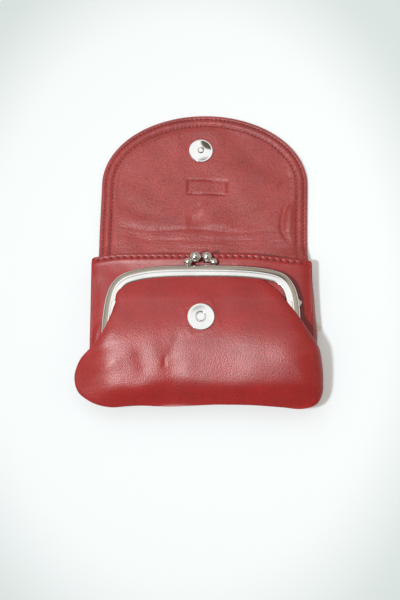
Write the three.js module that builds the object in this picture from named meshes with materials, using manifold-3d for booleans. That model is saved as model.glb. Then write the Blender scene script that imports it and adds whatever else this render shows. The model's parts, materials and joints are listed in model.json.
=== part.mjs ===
// Kiss-lock coin purse: a flat leather purse with a fold-over flap, two zip pockets and a framed
// coin pouch on its front. It lies on its back with the flap open. Millimetres, +Z up, +X to the
// right, +Y towards the flap's tip. The origin is on the back's rest face, under the frame's hinge.

import * as THREE from 'three';
import { mergeVertices } from 'three/addons/utils/BufferGeometryUtils.js';
import Module from 'manifold-3d';

const wasm = await Module();
wasm.setup();

const ease = THREE.MathUtils.smoothstep;
const blend = THREE.MathUtils.lerp;
const radians = THREE.MathUtils.degToRad;

// Clearances
const GAP = 0.3;
const RUNNING_GAP = 0.08;
const OVERCUT = 1;

// Leather and lining
const LEATHER = 1.0;
const FLAP_LEATHER = 1.2;
const LINING = 0.3;
const BAG_CLOTH = 0.4;

// Body: back panel, front panel and the gusset between them
const BODY_WIDTH = 116;
const BODY_BOTTOM = -13.5;
const BODY_TOP = 58.5;
const BODY_CORNER = 12;
const REST_HALF_WIDTH = 44;
const REST_HALF_LENGTH = 9;
const EDGE_RISE_WIDTH = 8;
const BOTTOM_RISE_WIDTH = 4.5;
const GUSSET_INSET = 0.3;
const SLIP_POCKET_DEPTH = 4.4;
const HEM_HEIGHT = 6;

// Zips
const ZIP_TAPE = 0.5;
const ZIP_TAPE_WIDTH = 3.4;
const TOOTH_PITCH = 3.0;
const TOOTH_WIDTH = 1.5;
const TOOTH_TIP = 0.5;
const TOOTH_ROOT = 1.7;
const TOOTH_BACK = 2.3;
const TOOTH_HEIGHT = 1.2;
const SLIDER_LENGTH = 8;
const SLIDER_FLARE = 0.7;
const SLIDER_SHOULDER = 2.4;
const SLIDER_NOTCH = 3.2;
const SLIDER_WING = 0.65;
const SLIDER_NECK = 0.4;
const FLANGE_WIDTH = 0.6;
const BRIDGE_SPAN = 5.2;
const BRIDGE_POST = 0.8;
const BRIDGE_WIDTH = 1.5;
const BRIDGE_TOP = 3.0;
const BRIDGE_ROOF = 0.4;
const PULL_LENGTH = 20;
const PULL_WIDTH = 7.5;
const PULL_THICKNESS = 0.6;
const PULL_CORNER = 0.8;
const PULL_BAR = 1.0;
const PULL_EYE_LENGTH = 3.8;
const PULL_EYE_WIDTH = 5.4;
const STOP_LENGTH = 2;
const WINDOW_WIDTH = 9;
const WINDOW_END = 3;

// Each zip's place: its height on the panel, and how far its start and its closed slider stand
// in from the body's left and right edges
const REAR_ZIP_Y = 35.3;
const REAR_ZIP_INSET = 8;
const REAR_SLIDER_INSET = 10;
const REAR_PULL_ANGLE = -45;
const REAR_VALLEY_ABOVE = 12;
const REAR_VALLEY_EASE = 6;
const FRONT_ZIP_Y = 42.4;
const FRONT_ZIP_INSET = 18;
const FRONT_SLIDER_INSET = 23.2;
const FRONT_PULL_ANGLE = -33;

// Kiss-lock frame
const FRAME_WIDTH = 102.6;
const FRAME_TOP = 53;
const FRAME_BOW = 1.6;
const FRAME_CORNER = 19;
const LEAF_BEAD = 3.6;
const LEAF_BAND = 6.5;
const LEAF_WALL = 1.6;
const LEAF_BEVEL = 0.7;
const LEAF_STEP = 0.6;
const FRONT_LEAF = 4.2;
const REAR_LEAF = 3.6;
const LEAF_SPLIT = 0.4;
const CHANNEL = 1.4;
const CORD_WIDTH = 1.2;
const LEG_END = 4.2;
const EAR_RADIUS = 3.4;
const EAR_THICKNESS = 1.0;
const EAR_WEB = 3;
const EAR_ROOT_ANGLE = 8.6;
const PIN_RADIUS = 1.2;
const PIN_HEAD_RADIUS = 2.2;
const PIN_HEAD = 0.7;
const EAR_INSET = 3.7;

// Clasp castings
const BALL_RADIUS = 2.9;
const BALL_SPACING = 6.1;
const BALL_RISE = 4.4;
const BALL_LEAN = 0.9;
const BEAD_RADIUS = 1.85;
const BEAD_SPACING = 13.5;
const BEAD_RISE = 1.5;
const ARM_RADIUS = 0.9;
const COLLAR_RADIUS = 1.9;
const COLLAR_HEIGHT = 1.2;

// Coin pouch
const POUCH_BOTTOM = -20.4;
const POUCH_HALF_WIDTH = 63.8;
const POUCH_WIDEST = -5;
const POUCH_SHOULDER = 17;
const POUCH_TOP_LEVEL = 24.6;
const POUCH_BELLY = 1.0;
const POUCH_DIP_LENGTH = 14;
const POUCH_LIFT_FROM = 6;
const POUCH_LIFT_TO = 13;
const POUCH_LIP = 1.5;
const POUCH_BEND = 0.4;
const POUCH_FLATNESS = 6;
const POUCH_BEND_Y = 10;
const BEND_GAP = 0.6;

// Magnetic snap
const SNAP_RADIUS = 7;
const SNAP_CAP = 1.9;
const SNAP_SHEET = 0.5;
const SNAP_HOLE = 2.3;
const MAGNET = 0.9;
const DISC_RADIUS = 6.4;
const DISC = 1.0;
const POST_RADIUS = 1.9;
const POST = 1.3;
const PLATE_SIZE = 12;
const PLATE = 0.35;
const SNAP_Y = 24.6;

// Flap
const FOLD_OFFSET = 2.5;
const FLAP_INSET = 1.2;
const FLAP_ROUND = 40;
const FLAP_PAST_SNAP = 21;

// Facets of round forms and grids of shaped sheets (columns, rows)
const FLAP_FACETS = 12;
const EDGE_FACETS = 5;
const BORE_FACETS = 6;
const SNAP_FACETS = 20;
const PIN_FACETS = 12;
const BALL_FACETS = [14, 9];
const BEAD_FACETS = [10, 7];
const ARM_FACETS = 4;
const ARM_STEPS = 5;
const BACK_GRID = [20, 17];
const REAR_BAG_GRID = [9, 12];
const POUCH_GRID = [16, 15];
const POUCH_LINING_GRID = [10, 11];
const POUCH_REAR_GRID = [8, 15];

// Places worked out from the sizes above, the levels from the table upwards
const REAR_PULL_DROP = radians(-REAR_PULL_ANGLE);
const REAR_VALLEY_BELOW =
  PULL_LENGTH * Math.sin(REAR_PULL_DROP) + (PULL_WIDTH / 2) * Math.cos(REAR_PULL_DROP);
const SLIDER_TAIL = TOOTH_BACK + GAP + FLANGE_WIDTH;
const SLIDER_MOUTH = SLIDER_TAIL + SLIDER_FLARE;
const WING_INNER = TOOTH_HEIGHT / 2 + GAP;
const WING_OUTER = WING_INNER + SLIDER_WING;
const PANEL_OVER_TAPE = ZIP_TAPE / 2 + GAP + LEATHER;
const REAR_TAPE_LEVEL = BRIDGE_TOP + 2 * GAP;
const VALLEY_DEPTH = REAR_TAPE_LEVEL - PANEL_OVER_TAPE;
const REAR_BAG_LEVEL = REAR_TAPE_LEVEL + WING_OUTER + GAP;
const FRONT_BAG_LEVEL = REAR_BAG_LEVEL + BAG_CLOTH + SLIP_POCKET_DEPTH;
const FRONT_TAPE_LEVEL = FRONT_BAG_LEVEL + BAG_CLOTH + GAP + WING_OUTER;
const PANEL_TOP_LEVEL = FRONT_TAPE_LEVEL + PANEL_OVER_TAPE;
const POUCH_REST_LEVEL = PANEL_TOP_LEVEL + GAP;
const REAR_LEAF_LEVEL = FRONT_TAPE_LEVEL + BRIDGE_TOP + GAP;
const HINGE_LEVEL = REAR_LEAF_LEVEL + REAR_LEAF + LEAF_SPLIT / 2;
const FRONT_LEAF_LEVEL = HINGE_LEVEL + LEAF_SPLIT / 2;
const FLAP_HALF_WIDTH = BODY_WIDTH / 2 - FLAP_INSET;
const FLAP_THICKNESS = 2 * FLAP_LEATHER + GAP;
const FOLD_LEVEL = FLAP_THICKNESS;
const FOLD_Y = BODY_TOP + FOLD_OFFSET;
const SNAP_CAP_TOP = POUCH_TOP_LEVEL + GAP + SNAP_CAP;
const SPINE_LENGTH = SNAP_CAP_TOP + GAP + DISC + GAP - FOLD_LEVEL;
const FLAP_Y = FOLD_Y + SPINE_LENGTH;
const FLAP_SNAP_Y = FLAP_Y + (FOLD_Y - SNAP_Y);
const FLAP_TIP = FLAP_SNAP_Y + FLAP_PAST_SNAP;
const FLAP_REACH = SNAP_Y - FLAP_PAST_SNAP;

// Materials
const finish = (color, roughness, metalness) =>
  new THREE.MeshStandardMaterial({ color, roughness, metalness });
const redLeather = finish(0xa5403f, 0.45, 0);
const liningLeather = finish(0xa84a49, 0.5, 0);
const liningCloth = finish(0x5a2426, 0.85, 0);
const zipTape = finish(0x7d2a2c, 0.8, 0);
const nickel = finish(0xc8c2ba, 0.22, 1);
const steel = finish(0xd9d8d4, 0.15, 1);
const ferrite = finish(0x2b2b2d, 0.6, 0.2);
const paper = finish(0xb9a98a, 0.9, 0);

// Solids

function toSolid(geometry) {
  const bare = geometry.clone();
  bare.deleteAttribute('normal');
  bare.deleteAttribute('uv');
  const merged = mergeVertices(bare, 1e-4);
  return new wasm.Manifold(new wasm.Mesh({
    numProp: 3,
    vertProperties: new Float32Array(merged.attributes.position.array),
    triVerts: new Uint32Array(merged.index.array),
  }));
}

function toGeometry(solid) {
  const mesh = solid.getMesh();
  const geometry = new THREE.BufferGeometry();
  geometry.setAttribute('position', new THREE.BufferAttribute(mesh.vertProperties, 3));
  geometry.setIndex(new THREE.BufferAttribute(mesh.triVerts, 1));
  geometry.computeVertexNormals();
  return geometry;
}

const join = (...parts) => toGeometry(parts.map(toSolid).reduce((a, b) => a.add(b)));
const cut = (body, ...tools) =>
  toGeometry(tools.map(toSolid).reduce((a, b) => a.subtract(b), toSolid(body)));
const common = (a, b) => toGeometry(toSolid(a).intersect(toSolid(b)));

function addPiece(group, name, geometry, material) {
  const mesh = new THREE.Mesh(geometry, material);
  mesh.name = name;
  group.add(mesh);
  return mesh;
}

// A flat shape in the XY plane, made solid between two levels.
function plate(shape, fromLevel, toLevel, bevel = 0, curveSegments = EDGE_FACETS) {
  const geometry = new THREE.ExtrudeGeometry(shape, {
    depth: toLevel - fromLevel - 2 * bevel,
    bevelEnabled: bevel > 0,
    bevelThickness: bevel,
    bevelSize: bevel,
    bevelOffset: -bevel,
    bevelSegments: 1,
    curveSegments,
  });
  return geometry.translate(0, 0, fromLevel + bevel);
}

function box(x0, x1, y0, y1, z0, z1) {
  const geometry = new THREE.BoxGeometry(x1 - x0, y1 - y0, z1 - z0);
  return geometry.translate((x0 + x1) / 2, (y0 + y1) / 2, (z0 + z1) / 2);
}

// A shape drawn in the YZ plane (its x is Y, its y is Z), made solid from one X to another.
function sidePlate(shape, fromX, toX) {
  const geometry = new THREE.ExtrudeGeometry(shape, {
    depth: toX - fromX,
    bevelEnabled: false,
    curveSegments: BORE_FACETS,
  });
  const turn = new THREE.Matrix4().makeBasis(
    new THREE.Vector3(0, 1, 0),
    new THREE.Vector3(0, 0, 1),
    new THREE.Vector3(1, 0, 0),
  );
  return geometry.applyMatrix4(turn).translate(fromX, 0, 0);
}

// A shaped sheet: two surfaces over the same unit square, closed along their four edges.
function sheet(upper, lower, [columns, rows]) {
  const positions = [];
  const index = [];
  const stride = columns + 1;
  const layer = stride * (rows + 1);
  for (const surface of [upper, lower]) {
    for (let j = 0; j <= rows; j += 1) {
      for (let i = 0; i <= columns; i += 1) {
        positions.push(...surface(i / columns, j / rows));
      }
    }
  }
  const quad = (a, b, c, d) => index.push(a, b, c, a, c, d);
  for (let j = 0; j < rows; j += 1) {
    for (let i = 0; i < columns; i += 1) {
      const a = j * stride + i;
      quad(a, a + 1, a + stride + 1, a + stride);
      quad(layer + a, layer + a + stride, layer + a + stride + 1, layer + a + 1);
    }
  }
  for (let i = 0; i < columns; i += 1) {
    const last = rows * stride + i;
    quad(i + 1, i, layer + i, layer + i + 1);
    quad(last, last + 1, layer + last + 1, layer + last);
  }
  for (let j = 0; j < rows; j += 1) {
    const left = j * stride;
    const right = left + columns;
    quad(left, left + stride, layer + left + stride, layer + left);
    quad(right + stride, right, layer + right, layer + right + stride);
  }
  const geometry = new THREE.BufferGeometry();
  geometry.setAttribute('position', new THREE.Float32BufferAttribute(positions, 3));
  geometry.setIndex(index);
  return geometry;
}

// Body

// The body's outline drawn inwards by an inset: square top corners, round bottom corners.
function traceBody(path, inset, top) {
  const w = BODY_WIDTH / 2 - inset;
  const bottom = BODY_BOTTOM + inset;
  const r = BODY_CORNER - inset;
  path.moveTo(-w, top);
  path.lineTo(-w, bottom + r);
  path.absarc(-w + r, bottom + r, r, Math.PI, 1.5 * Math.PI, false);
  path.lineTo(w - r, bottom);
  path.absarc(w - r, bottom + r, r, 1.5 * Math.PI, 2 * Math.PI, false);
  path.lineTo(w, top);
}

function bodyShape(inset, top) {
  const shape = new THREE.Shape();
  traceBody(shape, inset, top);
  return shape;
}

function windowShape(fromX, toX, y) {
  const r = WINDOW_WIDTH / 2;
  const shape = new THREE.Shape();
  shape.moveTo(fromX + r, y - r);
  shape.lineTo(toX - r, y - r);
  shape.absarc(toX - r, y, r, -Math.PI / 2, Math.PI / 2, false);
  shape.lineTo(fromX + r, y + r);
  shape.absarc(fromX + r, y, r, Math.PI / 2, 1.5 * Math.PI, false);
  return shape;
}

const zipWindow = (zip) =>
  windowShape(zip.from - STOP_LENGTH - WINDOW_END, zip.to + STOP_LENGTH + WINDOW_END, zip.y);

// Height of the back panel's outer face: flat where it rests, drawn up along the zip and the edges.
function backLevel(x, y) {
  const side = ease(Math.abs(x), REST_HALF_WIDTH, REST_HALF_WIDTH + EDGE_RISE_WIDTH);
  const bottom = ease(-y, REST_HALF_LENGTH, REST_HALF_LENGTH + BOTTOM_RISE_WIDTH);
  const fromZip = y - REAR_ZIP_Y;
  const reach = fromZip > 0 ? REAR_VALLEY_ABOVE : REAR_VALLEY_BELOW;
  const valley = 1 - ease(Math.abs(fromZip), reach, reach + REAR_VALLEY_EASE);
  return VALLEY_DEPTH * Math.max(side, bottom, valley);
}

function backPanel(zip) {
  const top = FOLD_Y - GAP / 2;
  const half = BODY_WIDTH / 2 + OVERCUT;
  const low = BODY_BOTTOM - OVERCUT;
  const face = (lift) => (u, v) => {
    const x = blend(-half, half, u);
    const y = blend(low, top, v);
    return [x, y, backLevel(x, y) + lift];
  };
  const skin = sheet(face(LEATHER), face(0), BACK_GRID);
  const block = plate(bodyShape(0, top + OVERCUT), -OVERCUT, VALLEY_DEPTH + LEATHER + OVERCUT);
  const opening = plate(zipWindow(zip), -OVERCUT, VALLEY_DEPTH + LEATHER + OVERCUT);
  return cut(common(skin, block), opening);
}

// The rear pocket's cloth lies over the zip and comes down to the flap's fold at its top.
function rearBag() {
  const half = BODY_WIDTH / 2 - GUSSET_INSET - LEATHER - GAP;
  const low = BODY_BOTTOM + BODY_CORNER;
  const top = FOLD_Y - GAP / 2;
  const dipFrom = REAR_ZIP_Y + REAR_VALLEY_ABOVE;
  const face = (lift) => (u, v) => {
    const x = blend(-half, half, u);
    const y = blend(low, top, v);
    const drop = ease(y, dipFrom, BODY_TOP);
    const foot = backLevel(x, y) + FLAP_LEATHER + GAP;
    return [x, y, blend(REAR_BAG_LEVEL, foot, drop) + lift];
  };
  return sheet(face(BAG_CLOTH), face(0), REAR_BAG_GRID);
}

function body(rearZip, frontZip) {
  const group = new THREE.Group();
  const gussetFrom = VALLEY_DEPTH + LEATHER + GAP;
  const gussetTo = PANEL_TOP_LEVEL - LEATHER - GAP;
  const gusset = bodyShape(GUSSET_INSET, BODY_TOP);
  const inside = bodyShape(GUSSET_INSET + LEATHER, BODY_TOP + OVERCUT);
  const bagShape = bodyShape(GUSSET_INSET + LEATHER + GAP, BODY_TOP - GAP);
  const hemHalf = BODY_WIDTH / 2 - GUSSET_INSET - LEATHER - GAP;
  const panel = plate(bodyShape(0, BODY_TOP), PANEL_TOP_LEVEL - LEATHER, PANEL_TOP_LEVEL);
  const opening = plate(
    zipWindow(frontZip), PANEL_TOP_LEVEL - LEATHER - OVERCUT, PANEL_TOP_LEVEL + OVERCUT,
  );
  addPiece(group, 'back_panel', backPanel(rearZip), redLeather);
  addPiece(group, 'rear_zip_bag', rearBag(), liningCloth);
  addPiece(group, 'body_gusset', cut(
    plate(gusset, gussetFrom, gussetTo),
    plate(inside, gussetFrom - OVERCUT, gussetTo + OVERCUT),
  ), redLeather);
  const frontBag = plate(bagShape, FRONT_BAG_LEVEL, FRONT_BAG_LEVEL + BAG_CLOTH);
  addPiece(group, 'front_zip_bag', frontBag, liningCloth);
  addPiece(group, 'front_panel', cut(panel, opening), redLeather);
  addPiece(group, 'front_panel_hem', box(
    -hemHalf, hemHalf, BODY_TOP - HEM_HEIGHT, BODY_TOP,
    PANEL_TOP_LEVEL - 2 * LEATHER - GAP, PANEL_TOP_LEVEL - LEATHER - GAP,
  ), redLeather);
  return group;
}

// Zip

// One row of teeth: a strip along the tape's edge with square teeth towards the other row.
function teethRow(from, to, side) {
  const shape = new THREE.Shape();
  const count = Math.floor((to - from - TOOTH_WIDTH) / TOOTH_PITCH);
  const start = from + (side > 0 ? 0 : TOOTH_PITCH / 2);
  shape.moveTo(from, side * TOOTH_BACK);
  shape.lineTo(from, side * TOOTH_ROOT);
  for (let i = 0; i < count; i += 1) {
    const x = start + GAP + i * TOOTH_PITCH;
    shape.lineTo(x, side * TOOTH_ROOT);
    shape.lineTo(x, side * TOOTH_TIP);
    shape.lineTo(x + TOOTH_WIDTH, side * TOOTH_TIP);
    shape.lineTo(x + TOOTH_WIDTH, side * TOOTH_ROOT);
  }
  shape.lineTo(to, side * TOOTH_ROOT);
  shape.lineTo(to, side * TOOTH_BACK);
  return plate(shape, -TOOTH_HEIGHT / 2, TOOTH_HEIGHT / 2);
}

// The slider's wing outline, wider at the mouth (+X end) than at the tail.
function wingShape() {
  const l = SLIDER_LENGTH / 2;
  const mouth = SLIDER_MOUTH;
  const tail = SLIDER_TAIL;
  const shape = new THREE.Shape();
  shape.moveTo(-l, -tail);
  shape.lineTo(-l / 4, -tail);
  shape.bezierCurveTo(l / 4, -tail, l / 4, -mouth, SLIDER_SHOULDER, -mouth);
  shape.quadraticCurveTo(l, -mouth, l, -mouth / 3);
  shape.quadraticCurveTo(SLIDER_NOTCH, 0, l, mouth / 3);
  shape.quadraticCurveTo(l, mouth, SLIDER_SHOULDER, mouth);
  shape.bezierCurveTo(l / 4, mouth, l / 4, tail, -l / 4, tail);
  shape.lineTo(-l, tail);
  return shape;
}

// The arch over the slider's upper wing that the pull hangs in.
function bridge() {
  const half = BRIDGE_SPAN / 2;
  const inner = half - BRIDGE_POST;
  const foot = WING_OUTER - SLIDER_WING / 2;
  const roof = BRIDGE_TOP - BRIDGE_ROOF;
  const shape = new THREE.Shape();
  shape.moveTo(-half, foot);
  shape.lineTo(-inner, foot);
  shape.lineTo(-inner, roof);
  shape.lineTo(inner, roof);
  shape.lineTo(inner, foot);
  shape.lineTo(half, foot);
  shape.lineTo(half, roof);
  shape.lineTo(half - BRIDGE_ROOF, BRIDGE_TOP);
  shape.lineTo(-half + BRIDGE_ROOF, BRIDGE_TOP);
  shape.lineTo(-half, roof);
  const arch = new THREE.ExtrudeGeometry(shape, { depth: BRIDGE_WIDTH, bevelEnabled: false });
  return arch.rotateX(Math.PI / 2).translate(0, BRIDGE_WIDTH / 2, 0);
}

function sliderBody() {
  const l = SLIDER_LENGTH / 2;
  const neckTop = WING_OUTER - SLIDER_WING / 2;
  const flangeMiddle = SLIDER_TAIL - FLANGE_WIDTH / 2;
  const flangeFoot = ZIP_TAPE / 2 + GAP;
  const flangeHeight = WING_OUTER - flangeFoot;
  const flange = (side, level) => new THREE.BoxGeometry(l, FLANGE_WIDTH, flangeHeight)
    .translate(-l / 2, side * flangeMiddle, level * (flangeFoot + flangeHeight / 2));
  return join(
    plate(wingShape(), WING_INNER, WING_OUTER),
    plate(wingShape(), -WING_OUTER, -WING_INNER),
    box(l / 4, SLIDER_NOTCH, -SLIDER_NECK / 2, SLIDER_NECK / 2, -neckTop, neckTop),
    flange(1, 1),
    flange(-1, 1),
    flange(1, -1),
    flange(-1, -1),
    bridge(),
  );
}

function pullShape() {
  const w = PULL_WIDTH / 2;
  const end = PULL_LENGTH - PULL_BAR / 2;
  const c = PULL_CORNER;
  const shape = new THREE.Shape();
  shape.moveTo(-PULL_BAR / 2, -w);
  shape.lineTo(end - c, -w);
  shape.absarc(end - c, -w + c, c, -Math.PI / 2, 0, false);
  shape.lineTo(end, w - c);
  shape.absarc(end - c, w - c, c, 0, Math.PI / 2, false);
  shape.lineTo(-PULL_BAR / 2, w);
  const eye = new THREE.Path();
  eye.moveTo(PULL_BAR / 2, -PULL_EYE_WIDTH / 2);
  eye.lineTo(PULL_BAR / 2, PULL_EYE_WIDTH / 2);
  eye.lineTo(PULL_BAR / 2 + PULL_EYE_LENGTH, PULL_EYE_WIDTH / 2);
  eye.lineTo(PULL_BAR / 2 + PULL_EYE_LENGTH, -PULL_EYE_WIDTH / 2);
  shape.holes.push(eye);
  return shape;
}

// A whole zip in its own frame: along X, the tape in the XY plane, the slider's bridge to +Z.
function zipAssembly(prefix, zip) {
  const group = new THREE.Group();
  const tapeFrom = zip.from - STOP_LENGTH - GAP;
  const tapeLength = zip.to + STOP_LENGTH + GAP - tapeFrom;
  const tapeMiddle = TOOTH_BACK + GAP + ZIP_TAPE_WIDTH / 2;
  const tape = (side) => new THREE.BoxGeometry(tapeLength, ZIP_TAPE_WIDTH, ZIP_TAPE)
    .translate(tapeFrom + tapeLength / 2, side * tapeMiddle, 0);
  const stopHalf = TOOTH_BACK;
  const stop = (x) => box(x, x + STOP_LENGTH, -stopHalf, stopHalf, -TOOTH_HEIGHT / 2, TOOTH_HEIGHT / 2);
  const pullLevel = (WING_OUTER + BRIDGE_TOP - BRIDGE_ROOF) / 2;
  addPiece(group, `${prefix}_upper_tape`, tape(zip.up), zipTape);
  addPiece(group, `${prefix}_lower_tape`, tape(-zip.up), zipTape);
  addPiece(group, `${prefix}_upper_teeth`, teethRow(zip.from, zip.to, zip.up), nickel);
  addPiece(group, `${prefix}_lower_teeth`, teethRow(zip.from, zip.to, -zip.up), nickel);
  addPiece(group, `${prefix}_bottom_stop`, stop(zip.from - GAP - STOP_LENGTH), nickel);
  addPiece(group, `${prefix}_top_stop`, stop(zip.to + GAP), nickel);
  addPiece(group, `${prefix}_slider`, sliderBody(), nickel).position.x = zip.slider;
  const pull = addPiece(group, `${prefix}_pull`, plate(
    pullShape(), pullLevel - PULL_THICKNESS / 2, pullLevel + PULL_THICKNESS / 2,
  ), nickel);
  pull.position.x = zip.slider;
  pull.rotation.z = radians(zip.pullAngle);
  return group;
}

// Kiss-lock frame

// One side of the frame's arch, drawn inwards by an inset; forwards runs from the left leg over
// the bowed top to the right leg, backwards returns.
function traceArch(path, inset, legEnd, forwards) {
  const w = FRAME_WIDTH / 2 - inset;
  const h = FRAME_TOP - FRAME_BOW - inset;
  const r = FRAME_CORNER - inset;
  const crown = h + 2 * FRAME_BOW;
  if (forwards) {
    path.moveTo(-w, legEnd);
    path.lineTo(-w, h - r);
    path.absarc(-w + r, h - r, r, Math.PI, Math.PI / 2, true);
    path.quadraticCurveTo(0, crown, w - r, h);
    path.absarc(w - r, h - r, r, Math.PI / 2, 0, true);
    path.lineTo(w, legEnd);
    return;
  }
  path.lineTo(w, legEnd);
  path.lineTo(w, h - r);
  path.absarc(w - r, h - r, r, 0, Math.PI / 2, false);
  path.quadraticCurveTo(0, crown, -w + r, h);
  path.absarc(-w + r, h - r, r, Math.PI / 2, Math.PI, false);
  path.lineTo(-w, legEnd);
}

function archBand(outerInset, innerInset, legEnd) {
  const shape = new THREE.Shape();
  traceArch(shape, outerInset, legEnd, true);
  traceArch(shape, innerInset, legEnd, false);
  return shape;
}

// The round hinge ear at a leg's end with the web that carries it; side is +1 for a web that goes
// up to the front leaf and -1 for one that goes down to the rear leaf.
function earShape(side) {
  const shape = new THREE.Shape();
  const reach = LEG_END + EAR_WEB;
  const near = HINGE_LEVEL + side * (LEAF_SPLIT / 2 + GAP);
  const far = HINGE_LEVEL + side * EAR_RADIUS;
  const root = radians(EAR_ROOT_ANGLE);
  shape.moveTo(0, far);
  shape.lineTo(reach, far);
  shape.lineTo(reach, near);
  shape.lineTo(EAR_RADIUS, near);
  shape.absarc(0, HINGE_LEVEL, EAR_RADIUS, side * root, -side * 1.5 * Math.PI, side > 0);
  return shape;
}

function earBore() {
  const shape = new THREE.Shape();
  shape.absarc(0, HINGE_LEVEL, PIN_RADIUS + RUNNING_GAP, 0, 2 * Math.PI, false);
  return shape;
}

// A leaf: a rounded bead along the outside, a thinner band inside it, and a channel for the leather.
function leaf(level, thickness, side, earX) {
  const middle = level + thickness / 2;
  const bead = plate(archBand(0, LEAF_BEAD, LEG_END), level, level + thickness, LEAF_BEVEL);
  const bandTop = level + thickness - LEAF_STEP;
  const band = plate(archBand(LEAF_WALL, LEAF_BAND, LEG_END), level + LEAF_STEP, bandTop);
  const channel = plate(
    archBand(LEAF_WALL, LEAF_BAND + OVERCUT, LEG_END + EAR_WEB), middle - CHANNEL / 2, middle + CHANNEL / 2,
  );
  const earPlaces = [earX, -earX - EAR_THICKNESS];
  const ears = earPlaces.map((x) => sidePlate(earShape(side), x, x + EAR_THICKNESS));
  const bores = earPlaces.map((x) => sidePlate(earBore(), x - OVERCUT, x + EAR_THICKNESS + OVERCUT));
  return cut(join(cut(join(bead, band), channel), ...ears), ...bores);
}

function channelCord(level, thickness) {
  const middle = level + thickness / 2;
  const inset = LEAF_WALL + GAP;
  const half = CHANNEL / 2 - GAP;
  return plate(archBand(inset, inset + CORD_WIDTH, LEG_END + EAR_WEB + GAP), middle - half, middle + half);
}

// A rivet through both ears, headed at both ends, along +X from the given place.
function hingePin(fromX, length) {
  const profile = [
    new THREE.Vector2(0, 0),
    new THREE.Vector2(PIN_HEAD_RADIUS, 0),
    new THREE.Vector2(PIN_HEAD_RADIUS, PIN_HEAD),
    new THREE.Vector2(PIN_RADIUS, PIN_HEAD),
    new THREE.Vector2(PIN_RADIUS, length - PIN_HEAD),
    new THREE.Vector2(PIN_HEAD_RADIUS, length - PIN_HEAD),
    new THREE.Vector2(PIN_HEAD_RADIUS, length),
    new THREE.Vector2(0, length),
  ];
  const pin = new THREE.LatheGeometry(profile, PIN_FACETS);
  return pin.rotateZ(-Math.PI / 2).translate(fromX, 0, HINGE_LEVEL);
}

// A clasp casting: a bead on the frame's top, an arm that arches in from it, a collar and a ball.
function clasp(side, leafMiddle, lean) {
  const bead = new THREE.Vector3(side * BEAD_SPACING / 2, FRAME_TOP + GAP + BEAD_RISE, leafMiddle);
  const ball = new THREE.Vector3(side * BALL_SPACING / 2, FRAME_TOP + BALL_RISE, leafMiddle + lean);
  const shoulder = new THREE.Vector3(ball.x + side * BALL_RADIUS, bead.y + BEAD_RADIUS / 2, leafMiddle);
  const path = new THREE.QuadraticBezierCurve3(bead, shoulder, ball);
  const section = new THREE.Shape();
  section.absarc(0, 0, ARM_RADIUS, 0, 2 * Math.PI, false);
  const arm = new THREE.ExtrudeGeometry(section, {
    steps: ARM_STEPS,
    extrudePath: path,
    curveSegments: ARM_FACETS,
  });
  const foot = new THREE.CylinderGeometry(ARM_RADIUS, COLLAR_RADIUS, BEAD_RISE, PIN_FACETS);
  foot.translate(bead.x, FRAME_TOP + GAP + BEAD_RISE / 2, leafMiddle);
  const collar = new THREE.CylinderGeometry(COLLAR_RADIUS, COLLAR_RADIUS, COLLAR_HEIGHT, PIN_FACETS);
  collar.translate(ball.x, ball.y - BALL_RADIUS + COLLAR_HEIGHT / 4, ball.z);
  return join(
    new THREE.SphereGeometry(BALL_RADIUS, ...BALL_FACETS).translate(ball.x, ball.y, ball.z),
    new THREE.SphereGeometry(BEAD_RADIUS, ...BEAD_FACETS).translate(bead.x, bead.y, bead.z),
    arm,
    foot,
    collar,
  );
}

function kissLockFrame() {
  const group = new THREE.Group();
  const frontMiddle = FRONT_LEAF_LEVEL + FRONT_LEAF / 2;
  const rearMiddle = REAR_LEAF_LEVEL + REAR_LEAF / 2;
  const rearEar = FRAME_WIDTH / 2 - EAR_INSET;
  const frontEar = rearEar - GAP - EAR_THICKNESS;
  const pinFrom = frontEar - GAP - PIN_HEAD;
  const pinLength = 2 * EAR_THICKNESS + 3 * GAP + 2 * PIN_HEAD;
  addPiece(group, 'frame_rear_leaf', leaf(REAR_LEAF_LEVEL, REAR_LEAF, -1, rearEar), nickel);
  addPiece(group, 'frame_front_leaf', leaf(FRONT_LEAF_LEVEL, FRONT_LEAF, 1, frontEar), nickel);
  addPiece(group, 'rear_channel_cord', channelCord(REAR_LEAF_LEVEL, REAR_LEAF), paper);
  addPiece(group, 'front_channel_cord', channelCord(FRONT_LEAF_LEVEL, FRONT_LEAF), paper);
  addPiece(group, 'hinge_pin_right', hingePin(pinFrom, pinLength), steel);
  addPiece(group, 'hinge_pin_left', hingePin(-pinFrom - pinLength, pinLength), steel);
  addPiece(group, 'front_clasp', clasp(-1, frontMiddle, -BALL_LEAN), nickel);
  addPiece(group, 'rear_clasp', clasp(1, rearMiddle, BALL_LEAN), nickel);
  return group;
}

// Coin pouch

const POUCH_TOP = FRAME_TOP - LEAF_BAND;
const POUCH_NECK = FRAME_WIDTH / 2 - LEAF_BAND;

// Level of the rear wall's under side: on the front panel low down, up to the rear leaf above.
const rearWall = (y) =>
  blend(POUCH_REST_LEVEL, REAR_LEAF_LEVEL + LEAF_STEP / 2, ease(y, POUCH_LIFT_FROM, POUCH_LIFT_TO));

// Level of the front wall along the middle: tucked into the front leaf at the top, flat under the
// snap and fuller below the flap's tip.
function frontWall(y) {
  const channel = FRONT_LEAF_LEVEL + FRONT_LEAF / 2 + LEATHER / 2;
  const tuck = blend(POUCH_TOP_LEVEL, channel, ease(y, POUCH_TOP - POUCH_DIP_LENGTH, POUCH_TOP));
  return tuck + POUCH_BELLY * (1 - ease(y, POUCH_WIDEST, FLAP_REACH));
}

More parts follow.
